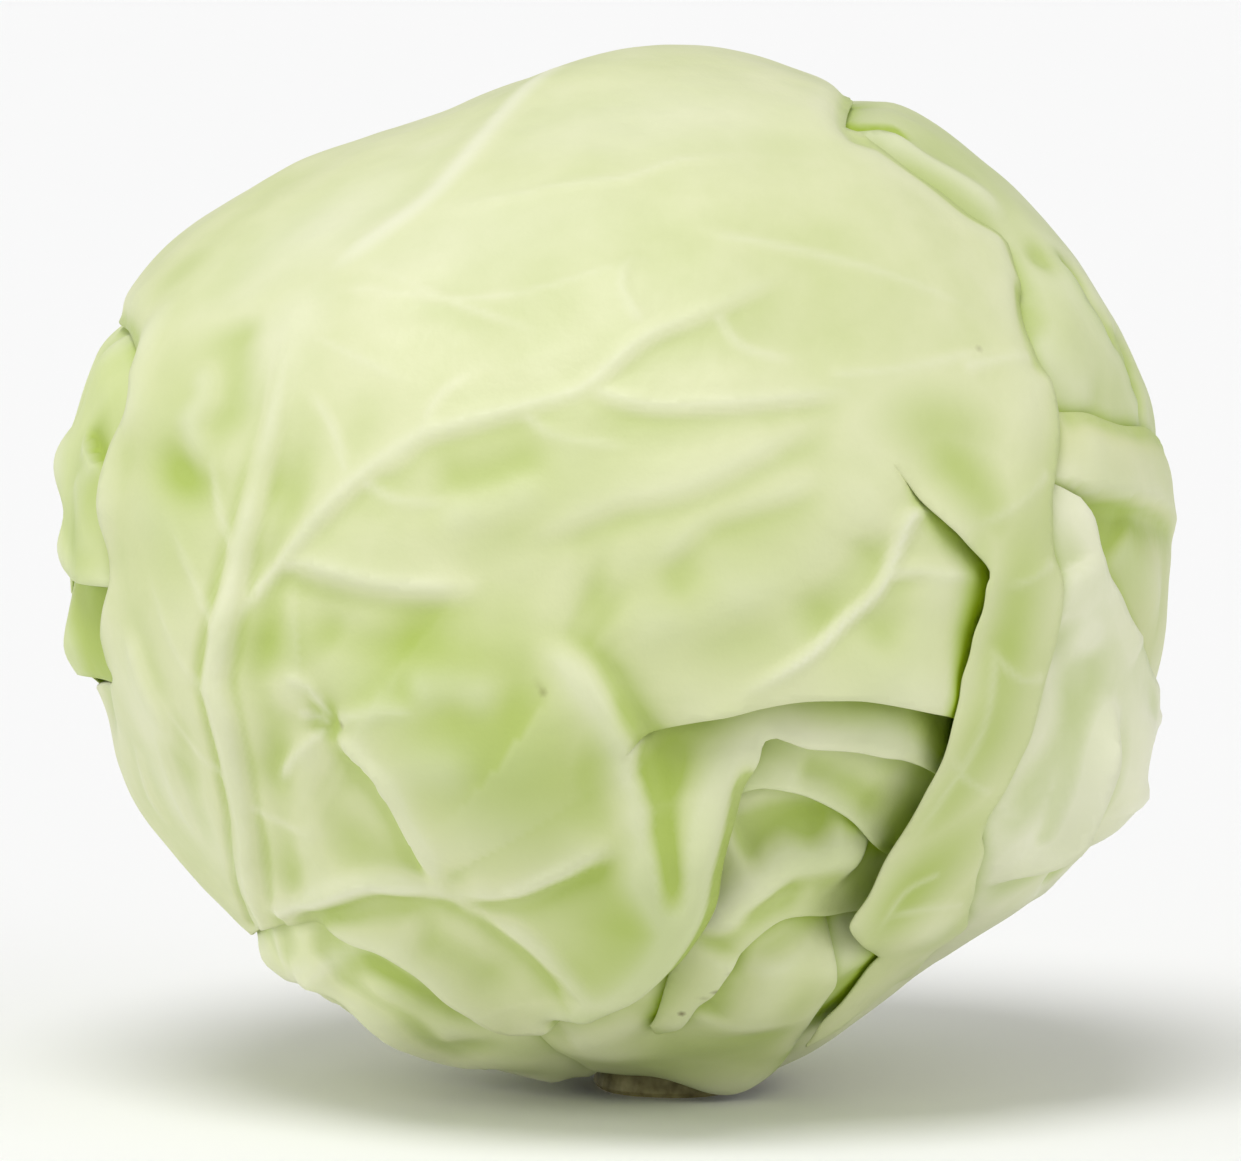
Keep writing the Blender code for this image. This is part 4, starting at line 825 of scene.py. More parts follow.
    for x, y, radius, strength, stretch, turn in (
        (330, 225, 14.0, 0.5, 2.0, 40.0),
        (290, 330, 8.0, 0.4, 2.0, 70.0),
        (185, 810, 9.0, 0.45, 2.4, -60.0),
        (150, 720, 7.0, 0.4, 2.4, -70.0),
        (640, 120, 16.0, 0.35, 2.4, 0.0),
        (470, 240, 16.0, 0.3, 2.0, 10.0),
    ):
        leaf.bloom(x, y, radius, strength, stretch, turn)
    return leaf


def wavy_leaf(name, edges, seed, sink=0.0, step=MESH_STEP, wave=0.7):
    """A leaf with its outline and a soft waviness."""
    middle = np.vstack([directions_of(edge) for edge in edges]).mean(axis=0)
    leaf = Leaf(name, unit(middle), step=step, sink=sink)
    leaf.outline(edges)
    leaf.wave(seed, 55.0, wave)
    return leaf


def fan(leaf, midrib, reach, height=0.5, width=1.6, count=5):
    """A midrib through drawn points and, on both its sides, veins that bend toward its tip."""
    leaf.rib(midrib, 3.0 * height, 1.7 * width, start=0.0, end=0.3)
    line = leaf.fine(midrib)
    ahead = unit(np.gradient(line, axis=0))
    aside = np.stack([-ahead[:, 1], ahead[:, 0]], axis=1)
    run = np.linspace(0.0, 1.0, 7)[:, None]
    for k in range(count):
        length = reach * (1.0 - VEIN_TAPER * k / count)
        for side in (-1.0, 1.0):
            place = VEIN_FIRST + VEIN_SPAN * (k + VEIN_STAGGER * max(side, 0.0)) / count
            at = int(place * (len(line) - 1))
            out = VEIN_SPREAD * side * run * aside[at]
            along = (VEIN_LEAN * run + VEIN_BEND * run**2) * ahead[at]
            vein = curve(line[at] + length * (out + along), VEIN_STEP)
            leaf.rib(vein, height, width, start=0.0, end=0.5)
            leaf.fold(vein, 0.6 * height, 1.4 * height, 9.0, 12.0, start=0.0, end=0.5, width=5.0)


def right_ear_leaf():
    """The fold that stands out at the upper right of the outline, and the ground under it."""
    leaf = wavy_leaf("leaf_right_ear", [
        [(1022, 402), (1054, 410), (1086, 412), (1117, 424), (1147, 429), (1163, 440)],
        [(1163, 440), hidden(12, 98), hidden(12, 112), hidden(-4, 116), hidden(-17, 110),
         hidden(-19, 96), (1130, 670)],
        [(1130, 670), (1098, 640), (1066, 590), (1046, 540), (1022, 500)],
        [(1022, 500), (1022, 402)],
    ], 21, step=8.0)
    leaf.fold([(1040, 472), (1063, 476), (1083, 485), (1117, 491), (1150, 497), hidden(6, 92),
               hidden(6, 106)], 1.8, 2.0, 8.0, 9.0, start=0.1, end=0.75, width=4.5)
    leaf.margin([(1054, 410), (1086, 412), (1117, 424), (1147, 429), (1163, 440)], -1.0, 4.0,
                start=0.1)
    leaf.rib([(1060, 440), (1110, 452), (1160, 466)], 1.0, 6.0, start=0.2, end=0.0)
    leaf.rib([(1115, 530), (1135, 570), (1160, 600)], 1.4, 7.0)
    leaf.tint(1120, 545, 10.0, 0.8, 1.6, -40.0)
    return leaf


def top_right_leaf():
    """The leaf whose margins show as slits along the upper right of the outline."""
    leaf = wavy_leaf("leaf_top_right", [
        [(815, 140), (870, 190), (940, 235), (985, 290), (1006, 360), (1014, 440)],
        [(1014, 440), (1060, 445), (1110, 452), (1150, 456), hidden(6, 98)],
        [hidden(6, 98), hidden(14, 112), hidden(30, 120), hidden(50, 121), hidden(66, 116),
         hidden(70, 100), (815, 140)],
    ], 22)
    leaf.rib([(880, 132), (930, 160), (978, 192), (1014, 222)], 1.3, 2.6, pale=0.0)
    fan(leaf, [hidden(20, 112), hidden(40, 110), hidden(58, 108), hidden(68, 104)],
        26.0, 0.4, 1.5, 4)
    leaf.fold([(905, 129), (870, 128), (842, 121)], 1.2, 0.3, 5.0, 5.0, start=0.4, end=0.1)
    leaf.fold([(1112, 343), (1091, 320), (1073, 290), (1060, 258)], 1.2, 0.8, 6.0, 6.0,
              start=0.3, end=0.3, width=2.0)
    leaf.fold([(1145, 412), (1130, 380), (1121, 341)], 1.2, 0.8, 5.0, 5.0,
              start=0.2, end=0.3, width=2.0)
    leaf.mound(1042, 258, 3.5, -1.6)
    leaf.rib([(844, 119), (869, 121), (897, 128), (910, 128)], -1.8, 1.6, start=0.1, end=0.3)
    leaf.rib([(1064, 256), (1080, 288), (1098, 317), (1118, 340)], -2.2, 4.0, start=0.2, end=0.2)
    leaf.rib([(1126, 338), (1131, 374), (1149, 408)], -2.0, 4.0, start=0.2, end=0.2)
    leaf.rib([(1030, 330), (1060, 370), (1100, 410)], 0.9, 6.0)
    # Painted shadow along the slits and under the margin at the top
    leaf.shadow_line([(1062, 256), (1074, 288), (1092, 318), (1114, 342)], 4.5)
    leaf.shadow_line([(1121, 338), (1128, 374), (1147, 408)], 4.5)
    leaf.shadow_line([(842, 120), (869, 122), (897, 127), (910, 129)], 2.4)
    return leaf


def right_leaf():
    """The pale leaf between the strap and the right of the outline."""
    leaf = wavy_leaf("leaf_right", [
        [(1026, 476), (1026, 560), (1018, 640), (990, 720), (950, 800), (900, 850), (850, 900)],
        [(850, 900), (800, 955), (790, 1010), under(-58, 24)],
        [under(-58, 24), under(-44, 19), under(-20, 17.5), under(4, 17.5), under(30, 23),
         hidden(-46, 118), hidden(-32, 118), hidden(-20, 114), hidden(-18, 98), (1136, 645)],
        [(1136, 645), (1126, 620), (1114, 592), (1101, 572), (1091, 546), (1086, 519), (1076, 498)],
        [(1076, 498), (1056, 484), (1026, 476)],
    ], 23)
    leaf.margin([(1136, 645), (1126, 620), (1114, 592), (1101, 572), (1091, 546), (1086, 519)],
                1.0, 5.0, start=0.1)
    ridge = [(1111, 685), (1100, 717), (1086, 756), (1068, 802), (1052, 836), (1036, 850),
             (971, 887)]
    leaf.rib(ridge, 3.0, 4.0, start=0.3, end=0.4)
    leaf.fold(ridge[::-1], 3.2, 0.8, 9.0, 10.0, start=0.3, end=0.3, width=4.0)
    leaf.rib([(1134, 772), (1109, 788), (1089, 807), (1070, 827)], 1.4, 2.0)
    leaf.mound(1118, 760, 12.0, 3.6)
    leaf.mound(1098, 812, 9.0, 3.6)
    leaf.mound(1062, 866, 5.0, -3.0)
    leaf.mound(1030, 890, 8.0, 1.2)
    leaf.rib([(1060, 600), (1075, 650), (1070, 720), (1040, 790), (1000, 850)], -2.0, 8.0)
    leaf.rib([(1070, 560), (1080, 620), (1088, 670)], 1.6, 6.0)
    leaf.rib([(985, 870), (1010, 850), (1040, 800), (1062, 740)], 0.8, 2.5)
    fan(leaf, [hidden(-52, 112), hidden(-40, 106), hidden(-28, 101), (1150, 700), (1120, 640)],
        34.0, 0.4, 1.5, 4)
    leaf.bloom(1070, 790, 18.0, 0.6, 1.6, 65.0)
    leaf.bloom(1085, 640, 10.0, 0.5, 1.6, 80.0)
    leaf.tint(850, 985, 9.0, 1.0, 1.6, 45.0)
    return leaf


def upper_pleat():
    """The panel that comes out under the overhanging margin of the wrapper leaf."""
    leaf = wavy_leaf("leaf_pleat_upper", [
        [(725, 742), (770, 722), (810, 720), (860, 728), (925, 742)],
        [(925, 742), (962, 776), (940, 820), (905, 872)],
        [(905, 872), (883, 853), (860, 828), (834, 812), (805, 800), (774, 795), (752, 798),
         (716, 815)],
        [(716, 815), (706, 780), (725, 742)],
    ], 24, step=7.0, sink=4.4, wave=0.3)
    leaf.margin([(883, 853), (860, 828), (834, 812), (805, 800), (774, 795), (752, 798)], 1.2, 5.0)
    leaf.tint(860, 815, 8.0, 0.6, 1.8, -30.0)
    leaf.tint(720, 800, 9.0, 0.5, 1.8, 60.0)
    leaf.rib([(800, 775), (850, 790), (900, 830)], -0.8, 4.0)
    return leaf


def lower_pleat():
    """The pleat that narrows to a tongue below the panel."""
    leaf = wavy_leaf("leaf_pleat_lower", [
        [(686, 822), (730, 782), (780, 768), (835, 782), (900, 838), (925, 862)],
        [(925, 862), (918, 900), (893, 930)],
        [(893, 930), (850, 934), (816, 933), (790, 937), (766, 948), (745, 966), (726, 989),
         (714, 1006), (699, 1018), (686, 1032), (671, 1045)],
        [(671, 1045), (658, 1051), (651, 1040)],
        [(651, 1040), (663, 1015), (670, 997), (680, 975), (690, 952)],
        [(690, 952), (676, 920), (676, 870), (686, 822)],
    ], 25, step=7.0, sink=4.6, wave=0.3)
    leaf.rib([(705, 960), (734, 919), (761, 896), (790, 873), (818, 865), (850, 862), (885, 868)],
             3.4, 6.0, start=0.2, end=0.1, crease=True)
    leaf.margin([(745, 966), (714, 1006), (686, 1032)], 2.0, 7.0)
    leaf.rib([(735, 860), (790, 832), (850, 840)], -2.2, 6.0)
    leaf.rib([(720, 975), (760, 930), (820, 900)], -1.4, 5.0)
    leaf.tint(700, 900, 8.0, 0.6, 2.0, 65.0)
    leaf.tint(830, 855, 12.0, 0.7, 1.6, -10.0)
    for x, y, radius in ((731, 977, 0.35), (729, 983, 0.35), (726, 988, 0.3), (717, 1001, 0.35),
                         (703, 1007, 0.4), (683, 1022, 0.45)):
        leaf.fleck(x, y, radius)
    return leaf


def bottom_pleat():
    """The lowest pleat, round the front of the stem."""
    leaf = wavy_leaf("leaf_pleat_bottom", [
        [(598, 972), (650, 935), (705, 905), (780, 902), (850, 912)],
        [(850, 912), (838, 942), (834, 965), (833, 985), (829, 1000), (819, 1019), (803, 1047)],
        [(803, 1047), under(-40, 24), under(-56, 18.5), under(-76, 17.5), under(-98, 17.5),
         under(-116, 18), under(-128, 21)],
        [under(-128, 21), (553, 1057), (534, 1040), (552, 1000), (598, 972)],
    ], 26, step=8.0, sink=2.4, wave=0.5)
    leaf.margin([(834, 965), (829, 1000), (803, 1047)], 1.5, 6.0)
    leaf.rib([(770, 960), (775, 1000), (745, 1050)], 1.6, 10.0)
    leaf.rib([(700, 1030), (730, 1000), (750, 965)], -1.5, 5.0)
    leaf.rib([(560, 1043), (600, 1040), (650, 1030)], 1.0, 5.0)
    leaf.mound(735, 1085, 10.0, 4.4)
    leaf.tint(720, 1060, 10.0, 0.5, 2.0, 0.0)
    leaf.tint(800, 1000, 7.0, 0.4, 2.0, 70.0)
    leaf.tint(720, 930, 7.0, 0.6, 2.0, 50.0)
    leaf.mound(600, 1058, 9.0, 2.0)
    return leaf


def bottom_left_leaf():
    """The leaf whose lower part shows under the lower margin of the wrapper leaf."""
    leaf = wavy_leaf("leaf_bottom_left", [
        [(262, 880), (330, 885), (420, 905), (505, 960), (575, 1000)],
        [(575, 1000), under(-122, 21)],
        [under(-122, 21), under(-150, 18), under(180, 18), under(160, 20), hidden(240, 124),
         hidden(226, 114), hidden(219, 98), (258, 868)],
    ], 27)
    leaf.mound(268, 950, 6.0, 3.2)
    fan(leaf, [under(-150, 24), hidden(236, 112), hidden(228, 104), (330, 965), (400, 940)],
        30.0, 0.4, 1.5, 4)
    leaf.rib([(285, 960), (340, 990), (400, 1035), (450, 1062), (510, 1062)], 1.4, 4.0, pale=0.2)
    leaf.mound(330, 1000, 9.0, -1.2)
    leaf.rib([(300, 950), (380, 975), (450, 1015), (520, 1045)], -2.6, 6.5)
    leaf.tint(390, 985, 7.0, 0.6, 3.2, -30.0)
    leaf.tint(520, 1055, 8.0, 0.4, 2.0, 0.0)
    leaf.rib([(310, 965), (400, 1015), (439, 1047), (480, 1047), (525, 1041)], -1.4, 4.5)
    leaf.rib([(280, 950), (360, 1000), (430, 1055)], 1.0, 6.0)
    return leaf


def left_leaf():
    """The ear shaped lobe at the left of the outline."""
    leaf = wavy_leaf("leaf_left", [
        [(150, 285), (172, 360), (158, 450), (146, 520), (140, 585)],
        [(140, 585), (107, 586), (86, 580), (72, 562)],
        [(72, 562), hidden(182, 94), hidden(180, 108), hidden(168, 116), hidden(154, 110),
         hidden(147, 96), (150, 285)],
    ], 28, step=8.0)
    leaf.mound(56, 462, 8.0, 2.4)
    leaf.mound(78, 385, 8.0, -3.2)
    leaf.mound(118, 325, 7.0, 1.6)
    leaf.mound(58, 512, 5.0, -1.2)
    leaf.mound(66, 540, 5.0, 1.2)
    leaf.fold([(105, 475), (96, 455), (90, 430)], 1.0, 2.0, 4.0, 4.0, start=0.3, end=0.4)
    leaf.margin([(107, 586), (86, 580), (72, 562)], 1.5, 5.0)
    leaf.rib([(85, 470), (90, 520), (95, 570)], 0.8, 5.0)
    leaf.tint(95, 470, 8.0, 0.7, 1.8, 80.0)
    leaf.tint(85, 540, 8.0, 0.6, 1.8, 80.0)
    return leaf


def left_low_leaf():
    """The outer leaf behind and below the ear."""
    leaf = wavy_leaf("leaf_left_low", [
        [(95, 470), (150, 500), (168, 600), (158, 690)],
        [(158, 690), (112, 685), (86, 673)],
        [(86, 673), hidden(190, 92), hidden(195, 106), hidden(186, 116), hidden(172, 114),
         hidden(170, 98), (95, 470)],
    ], 29, step=8.0)
    leaf.mound(80, 655, 8.0, 4.0)
    leaf.mound(68, 590, 5.0, 1.0)
    leaf.mound(100, 600, 6.0, -3.0)
    leaf.tint(95, 610, 12.0, 1.0, 1.6, 80.0)
    return leaf


def back_left_leaf():
    """The large leaf that closes the back at the left."""
    leaf = wavy_leaf("leaf_back_left", [
        [hidden(98, 102), hidden(122, 100), hidden(145, 97), hidden(168, 96), hidden(192, 93),
         hidden(215, 90), hidden(238, 96), hidden(250, 112)],
        [hidden(250, 112), under(172, 23), under(150, 18.5), under(122, 17.5), under(98, 18.5),
         under(84, 24)],
        [under(84, 24), hidden(283, 134), hidden(310, 158), hidden(0, 164), hidden(55, 156),
         hidden(84, 128), hidden(98, 102)],
    ], 30, wave=1.2)
    midrib = [hidden(262, 122), hidden(232, 132), hidden(190, 140), hidden(150, 140),
              hidden(118, 124)]
    fan(leaf, midrib, 80.0, 0.6, 1.8, 7)
    leaf.wave(61, 32.0, 0.35)
    return leaf


def back_right_leaf():
    """The large leaf that closes the back at the right."""
    leaf = wavy_leaf("leaf_back_right", [
        [hidden(93, 104), hidden(66, 102), hidden(40, 100), hidden(14, 98), hidden(-12, 97),
         hidden(-36, 94), hidden(-52, 98), hidden(-58, 108)],
        [hidden(-58, 108), under(22, 23), under(42, 18.5), under(70, 17.5), under(96, 18.5),
         under(112, 25)],
        [under(112, 25), hidden(-106, 140), hidden(-140, 156), hidden(180, 158), hidden(130, 150),
         hidden(104, 128), hidden(93, 104)],
    ], 31, wave=1.2)
    midrib = [hidden(-78, 118), hidden(-50, 130), hidden(0, 142), hidden(50, 134), hidden(74, 114)]
    fan(leaf, midrib, 76.0, 0.6, 1.8, 7)
    leaf.wave(62, 32.0, 0.35)
    return leaf


LEAVES = [
    front_leaf, upper_pleat, lower_pleat, bottom_pleat, right_leaf, right_ear_leaf, top_right_leaf,
    bottom_left_leaf, left_leaf, left_low_leaf, back_left_leaf, back_right_leaf,
]

# Share of the vein colour on veins and on ridges as painted highlight, and of the greener colour
# in valleys as painted shade
VEIN_SHARE = 0.75
RIDGE_HIGHLIGHT_SHARE = 0.32
VALLEY_SHADE_SHARE = 0.5

# Skin colours: blades, greener patches, painted shade for closed places between leaves, veins (also
# painted highlight on ridges), flecks and stump
PALE = (0.715, 0.735, 0.46)
CREAM = (0.79, 0.79, 0.59)
GREEN = (0.40, 0.505, 0.11)
PAINTED_SHADE = (0.34, 0.48, 0.01)
VEIN_AND_HIGHLIGHT = (0.82, 0.82, 0.66)
FLECK = (0.10, 0.055, 0.01)
STUMP_DARK = (0.17, 0.14, 0.04)
STUMP_LIGHT = (0.48, 0.43, 0.19)

# Clouds of the greener colour in every blade
MOTTLE = 0.4

# Colour of each leaf's blade
BLADES = {
    "leaf_front": PALE,
    "leaf_right_ear": (0.66, 0.68, 0.39),
    "leaf_top_right": (0.63, 0.67, 0.39),
    "leaf_right": CREAM,
    "leaf_pleat_upper": (0.72, 0.76, 0.45),
    "leaf_pleat_lower": (0.72, 0.75, 0.45),
    "leaf_pleat_bottom": (0.70, 0.73, 0.43),
    # Paler than the other leaves: painted light standing in for the light that reaches the head's
    # bottom
    "leaf_bottom_left": (0.79, 0.82, 0.51),
    "leaf_left": (0.68, 0.74, 0.38),
    "leaf_left_low": (0.52, 0.62, 0.18),
    "leaf_back_left": PALE,
    "leaf_back_right": PALE,
    "heart": (0.62, 0.70, 0.28),
}


def world(points):
    """Points by the drawing's axes, in metres in the world."""
    return (points @ AXES + np.array(HEAD_CENTRE)) * MM


def outward(points, faces):
    """Faces turned, all alike, so that they look away from the head's centre."""
    a, b, c = (points[faces[:, k]] for k in range(3))
    facing = np.einsum("ij,ij->i", np.cross(b - a, c - a), a + b + c)
    return faces[:, ::-1] if facing.sum() < 0.0 else faces


def solid_leaf(points, faces, rim_count, edge, normals):
    """A sheet given thickness, with a rounded rim round its outline."""
    share = ease(edge, 0.0, MARGIN_REACH)
    thickness = MARGIN_THICKNESS + (LEAF_THICKNESS - MARGIN_THICKNESS) * share
    inner = points - normals * thickness[:, None]
    rim = np.arange(rim_count)
    ahead = points[np.roll(rim, -1)] - points[np.roll(rim, 1)]
    aside = unit(np.cross(ahead, normals[rim]))
    middle = points.mean(axis=0)
    if np.einsum("ij,ij->i", aside, points[rim] - middle).sum() < 0.0:
        aside = -aside
    bulge = (points[rim] + inner[rim]) / 2.0 + aside * MARGIN_ROUNDING
    count = len(points)
    after = np.roll(rim, -1)
    used = {tuple(pair) for face in faces for pair in zip(face, np.roll(face, -1))}
    forward = (0, 1) in used
    a, b = (after, rim) if forward else (rim, after)
    upper = np.stack([a, b, 2 * count + b, 2 * count + a], axis=1)
    lower = np.stack([2 * count + a, 2 * count + b, count + b, count + a], axis=1)
    polygons = [part.tolist() for part in (faces, faces[:, ::-1] + count, upper, lower)]
    return np.vstack([points, inner, bulge]), sum(polygons, [])


def give(mesh, name, values):
    """Store one number for each point of a mesh."""
    made = mesh.attributes.new(name, "FLOAT", "POINT")
    made.data.foreach_set("value", np.asarray(values, np.float32))


def openness(points, normals, tree):
    """Share of the space over each point that nothing close by stands in."""
    rng = np.random.default_rng(5)
    spread = unit(rng.normal(size=(OPEN_RAYS, 3)))
    free = np.zeros(len(points))
    for k, (point, normal) in enumerate(zip(points, normals)):
        start = Vector(point + normal * OPEN_START)
        total = 0.0
        for ray in spread:
            way = ray + normal * OPEN_LEAN
            hit = tree.ray_cast(start, Vector(way), OPEN_REACH)
            total += 1.0 if hit[0] is None else hit[3] / OPEN_REACH
        free[k] = total / OPEN_RAYS
    return free


def crest(relief, faces):
    """How far each point stands over (or under) the ground close round it, from -1 to 1."""
    ground = relief
    for _ in range(CREST_SPREAD):
        ground = neighbour_mean(ground, faces)
    return np.clip((relief - ground) / CREST_HEIGHT, -1.0, 1.0)


def build_leaves():
    """Make every leaf's sheet, outermost first."""
    sheets = []
    built = []
    covers = []
    for make in LEAVES:
        leaf = make()
        flat, faces, directions, height, edge = leaf.sheet(built)
        faces = outward(directions, faces)
        height = settle(directions, height, faces, covers, LEAF_GAP)
        points = directions * height[:, None]
        normals = point_normals(points, faces)
        under_side = points - normals * LEAF_THICKNESS
        covers.append((tree_of(under_side, faces), under_side))
        built.append(leaf)
        sheets.append((leaf, flat, faces, points, normals, edge))
    return sheets, covers


def heart_sheet(covers):
    """The dense inner head, its surface in overlapping leaf steps."""
    bm = bmesh.new()
    bmesh.ops.create_icosphere(bm, subdivisions=6, radius=1.0)
    directions = unit(np.array([tuple(v.co) for v in bm.verts]))
    faces = np.array([[v.index for v in f.verts] for f in bm.faces])
    bm.free()
    clock = np.arctan2(directions[:, 1], directions[:, 0])
    swirl = (clock * HEART_LEAVES / (2.0 * math.pi) + HEART_TWIST * directions[:, 2]) % 1.0
    side = np.sqrt(1.0 - directions[:, 2] ** 2)
    step = HEART_STEP * ease(swirl, 0.0, 0.12) * (1.0 - swirl) * side
    height = form_radius(directions) - HEART_DEPTH + step + ripple(directions, 41, 50.0, 0.8)
    height = settle(directions, height, faces, covers, LEAF_GAP)
    height = above_level(directions, height, STEM_HEIGHT + STEM_CLEARANCE)
    points = directions * height[:, None]
    return faces, points, point_normals(points, faces)


def link(tree, source, target):
    """Join two sockets."""
    tree.links.new(source, target)


def skin_group():
    """Waxy leaf skin: colour with painted shade and highlight, roughness and relief from the leaf's
    marks.
    """
    group = bpy.data.node_groups.new("Leaf skin", "ShaderNodeTree")
    face = group.interface
    for name in ("Blade", "Green", "Painted shade", "Vein and highlight"):
        face.new_socket(name, in_out="INPUT", socket_type="NodeSocketColor")
    face.new_socket("Mottle", in_out="INPUT", socket_type="NodeSocketFloat")
    face.new_socket("Colour", in_out="OUTPUT", socket_type="NodeSocketColor")
    face.new_socket("Roughness", in_out="OUTPUT", socket_type="NodeSocketFloat")
    face.new_socket("Height", in_out="OUTPUT", socket_type="NodeSocketFloat")
    nodes = group.nodes

    def node(kind, **values):
        made = nodes.new(kind)
        for key, value in values.items():
            setattr(made, key, value)
        return made

    def math_node(operation, a, b):
        made = node("ShaderNodeMath", operation=operation)
        for k, value in enumerate((a, b)):
            if isinstance(value, (int, float)):
                made.inputs[k].default_value = value
            else:
                link(group, value, made.inputs[k])
        return made.outputs[0]

    def mark(name):
        made = node("ShaderNodeAttribute", attribute_name=name)
        return made.outputs["Fac"]

    def mix(amount, a, b):
        made = node("ShaderNodeMix", data_type="RGBA")
        link(group, amount, made.inputs["Factor"])
        link(group, a, made.inputs["A"])
        link(group, b, made.inputs["B"])
        return made.outputs["Result"]

    def spread(value, low, high, out_low=0.0, out_high=1.0):
        made = node("ShaderNodeMapRange")
        link(group, value, made.inputs["Value"])
        made.inputs["From Min"].default_value = low
        made.inputs["From Max"].default_value = high
        made.inputs["To Min"].default_value = out_low
        made.inputs["To Max"].default_value = out_high
        return made.outputs["Result"]

    given = node("NodeGroupInput")
    place = node("ShaderNodeTexCoord").outputs["Object"]

    def cloud(scale, detail=3.0):
        made = node("ShaderNodeTexNoise")
        link(group, place, made.inputs["Vector"])
        made.inputs["Scale"].default_value = scale
        made.inputs["Detail"].default_value = detail
        return made

    broad = spread(cloud(22.0, 2.0).outputs["Fac"], 0.35, 0.68)
    small = spread(cloud(95.0).outputs["Fac"], 0.3, 0.75)
    mottle = math_node("MULTIPLY", given.outputs["Mottle"],
                       math_node("ADD", math_node("MULTIPLY", broad, 0.6),
                                 math_node("MULTIPLY", small, 0.4)))
    # Painted shade in the relief's valleys: they turn greener
    valley_shade = math_node("MAXIMUM", math_node("MULTIPLY", mark("crest"), -VALLEY_SHADE_SHARE), 0.0)
    patches = math_node("MAXIMUM", mottle, mark("tint"))
    green = math_node("MINIMUM", math_node("ADD", patches, valley_shade), 1.0)
    colour = mix(green, given.outputs["Blade"], given.outputs["Green"])
    # Painted shade: where leaves close over a point, a darker saturated green stands in for the
    # shade there
    closed = spread(mark("open"), 0.5, 0.97, 1.0, 0.0)
    colour = mix(closed, colour, given.outputs["Painted shade"])
    # Real veins, and ridges as painted highlight, take the paler vein colour
    veins = math_node("MAXIMUM", math_node("MULTIPLY", mark("vein"), VEIN_SHARE),
                      math_node("MULTIPLY", mark("crest"), RIDGE_HIGHLIGHT_SHARE))
    colour = mix(veins, colour, given.outputs["Vein and highlight"])
    spots = node("ShaderNodeRGB")
    spots.outputs[0].default_value = (*FLECK, 1.0)
    colour = mix(mark("spot"), colour, spots.outputs[0])
    rough = spread(broad, 0.0, 1.0, 0.38, 0.5)
    height = cloud(240.0, 3.0).outputs["Fac"]
    out = node("NodeGroupOutput")
    link(group, colour, out.inputs["Colour"])
    link(group, rough, out.inputs["Roughness"])
    link(group, height, out.inputs["Height"])
    return group


def skin(name, group):
    """Material of one leaf."""
    blade = BLADES[name]
    made = bpy.data.materials.new("skin_" + name)
    made.use_nodes = True
    tree = made.node_tree
    shader = tree.nodes["Principled BSDF"]
    marks = tree.nodes.new("ShaderNodeGroup")
    marks.node_tree = group
    for key, value in (("Blade", blade), ("Green", GREEN), ("Painted shade", PAINTED_SHADE), ("Vein and highlight", VEIN_AND_HIGHLIGHT)):
        marks.inputs[key].default_value = (*value, 1.0)
    marks.inputs["Mottle"].default_value = MOTTLE
    link(tree, marks.outputs["Colour"], shader.inputs["Base Color"])
    link(tree, marks.outputs["Roughness"], shader.inputs["Roughness"])
    bump = tree.nodes.new("ShaderNodeBump")
    bump.inputs["Strength"].default_value = 0.4
    bump.inputs["Distance"].default_value = 0.0005
    link(tree, marks.outputs["Height"], bump.inputs["Height"])
    link(tree, bump.outputs["Normal"], shader.inputs["Normal"])
    shader.inputs["Specular IOR Level"].default_value = 0.25
    made.diffuse_color = (*blade, 1.0)
    return made


def stem_material():
    """Cut, browned stump: fibres in two browns."""
    made = bpy.data.materials.new("stump")
    made.use_nodes = True
    tree = made.node_tree
    shader = tree.nodes["Principled BSDF"]
    place = tree.nodes.new("ShaderNodeTexCoord")
    noise = tree.nodes.new("ShaderNodeTexNoise")
    noise.inputs["Scale"].default_value = 350.0
    noise.inputs["Detail"].default_value = 5.0
    link(tree, place.outputs["Object"], noise.inputs["Vector"])
    ramp = tree.nodes.new("ShaderNodeValToRGB")
    ramp.color_ramp.elements[0].position = 0.3
    ramp.color_ramp.elements[0].color = (*STUMP_DARK, 1.0)
    ramp.color_ramp.elements[1].position = 0.75
    ramp.color_ramp.elements[1].color = (*STUMP_LIGHT, 1.0)
    link(tree, noise.outputs["Fac"], ramp.inputs["Fac"])
    link(tree, ramp.outputs["Color"], shader.inputs["Base Color"])
    bump = tree.nodes.new("ShaderNodeBump")
    bump.inputs["Strength"].default_value = 0.5
    bump.inputs["Distance"].default_value = 0.0006
    link(tree, noise.outputs["Fac"], bump.inputs["Height"])
    link(tree, bump.outputs["Normal"], shader.inputs["Normal"])
    shader.inputs["Roughness"].default_value = 0.6
    return made


def add_piece(name, points, polygons, marks, material):
    """A fine piece that stands for the node of the same name."""
    mesh = bpy.data.meshes.new("fine_" + name)
    mesh.from_pydata(world(points).tolist(), [], polygons)
    for key, values in marks.items():
        give(mesh, key, values)
    mesh.materials.append(material)
    mesh.shade_smooth()
    made = bpy.data.objects.new("fine_" + name, mesh)
    bpy.context.scene.collection.objects.link(made)
    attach(made, "root")
    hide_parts(name)
    return made


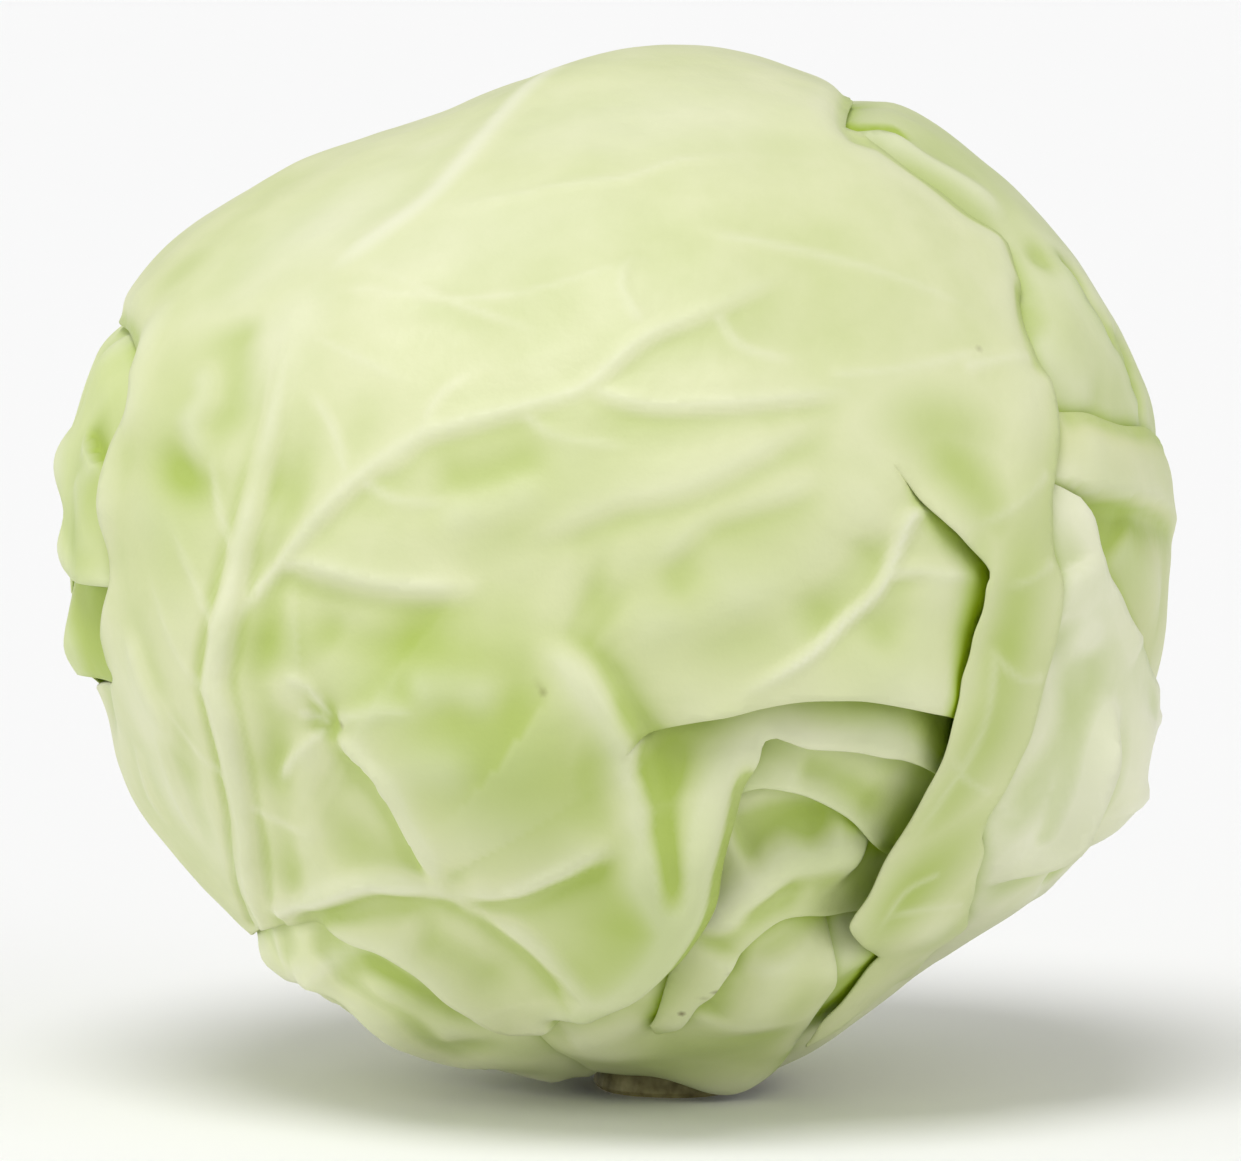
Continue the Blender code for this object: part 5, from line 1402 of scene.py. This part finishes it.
def dress():
    """Replace every leaf and the heart by its fine piece, and give the stem its stump material."""
    group = skin_group()
    sheets, covers = build_leaves()
    heart_faces, heart_points, heart_normals = heart_sheet(covers)
    surfaces = [(points, faces) for _, _, faces, points, _, _ in sheets]
    tree = joined_tree(surfaces + [(heart_points, heart_faces)])
    for leaf, flat, faces, points, normals, edge in sheets:
        free = openness(points, normals, tree)
        for _ in range(OPEN_SMOOTHING):
            free = 0.5 * free + 0.5 * neighbour_mean(free, faces)
        rim = len(leaf.loop())
        solid, polygons = solid_leaf(points, faces, rim, edge, normals)
        marks = {
            "vein": leaf.mask(leaf.veins, flat),
            "tint": leaf.mask(leaf.tints, flat),
            "spot": leaf.mask(leaf.spots, flat),
            "open": free,
            "crest": crest(leaf.relief(flat), faces),
        }
        marks = {key: np.concatenate([v, v, v[:rim]]) for key, v in marks.items()}
        add_piece(leaf.name, solid, polygons, marks, skin(leaf.name, group))
    marks = {key: np.zeros(len(heart_points)) for key in ("vein", "tint", "spot", "crest")}
    # The heart counts as closed all over, so it gets the painted shade colour everywhere
    marks["open"] = np.full(len(heart_points), 0.5)
    add_piece("heart", heart_points, heart_faces.tolist(), marks, skin("heart", group))
    stump = frame["nodes"]["stem"]
    stump.data.materials.clear()
    stump.data.materials.append(stem_material())


def stage():
    """Pale floor, soft studio light and the camera."""
    bpy.ops.mesh.primitive_plane_add(size=FLOOR_SIZE, location=(0.0, 0.0, 0.0))
    floor = bpy.context.object
    floor.name = "floor"
    paper = bpy.data.materials.new("paper")
    paper.use_nodes = True
    shader = paper.node_tree.nodes["Principled BSDF"]
    shader.inputs["Base Color"].default_value = (FLOOR_GREY, FLOOR_GREY, FLOOR_GREY, 1.0)
    shader.inputs["Roughness"].default_value = 0.9
    floor.data.materials.append(paper)
    bpy.context.scene.view_settings.view_transform = "Standard"
    world_light = bpy.data.worlds.new("studio")
    bpy.context.scene.world = world_light
    world_light.use_nodes = True
    sky = world_light.node_tree.nodes["Background"]
    sky.inputs["Color"].default_value = (1.0, 1.0, 1.0, 1.0)
    sky.inputs["Strength"].default_value = SKY_LIGHT
    for name, aim, spread, power in LAMPS:
        lamp = bpy.data.lights.new(name, "SUN")
        lamp.angle = math.radians(spread)
        lamp.energy = power
        made = bpy.data.objects.new(name, lamp)
        made.rotation_euler = Vector(aim).to_track_quat("-Z", "Y").to_euler()
        bpy.context.scene.collection.objects.link(made)
    lens = bpy.data.cameras.new("camera")
    camera = bpy.data.objects.new("camera", lens)
    bpy.context.scene.collection.objects.link(camera)
    centre = Vector(HEAD_CENTRE) * MM
    camera.location = centre + Vector(FRONT_AXIS) * CAMERA_DISTANCE
    camera.rotation_euler = (-Vector(FRONT_AXIS)).to_track_quat("-Z", "Y").to_euler()
    lens.sensor_width = SENSOR_WIDTH
    lens.lens = lens.sensor_width * CAMERA_DISTANCE / (IMAGE_WIDTH / UNITS_PER_MM * MM)
    lens.clip_end = 30.0
    bpy.context.scene.camera = camera


dress()
stage()
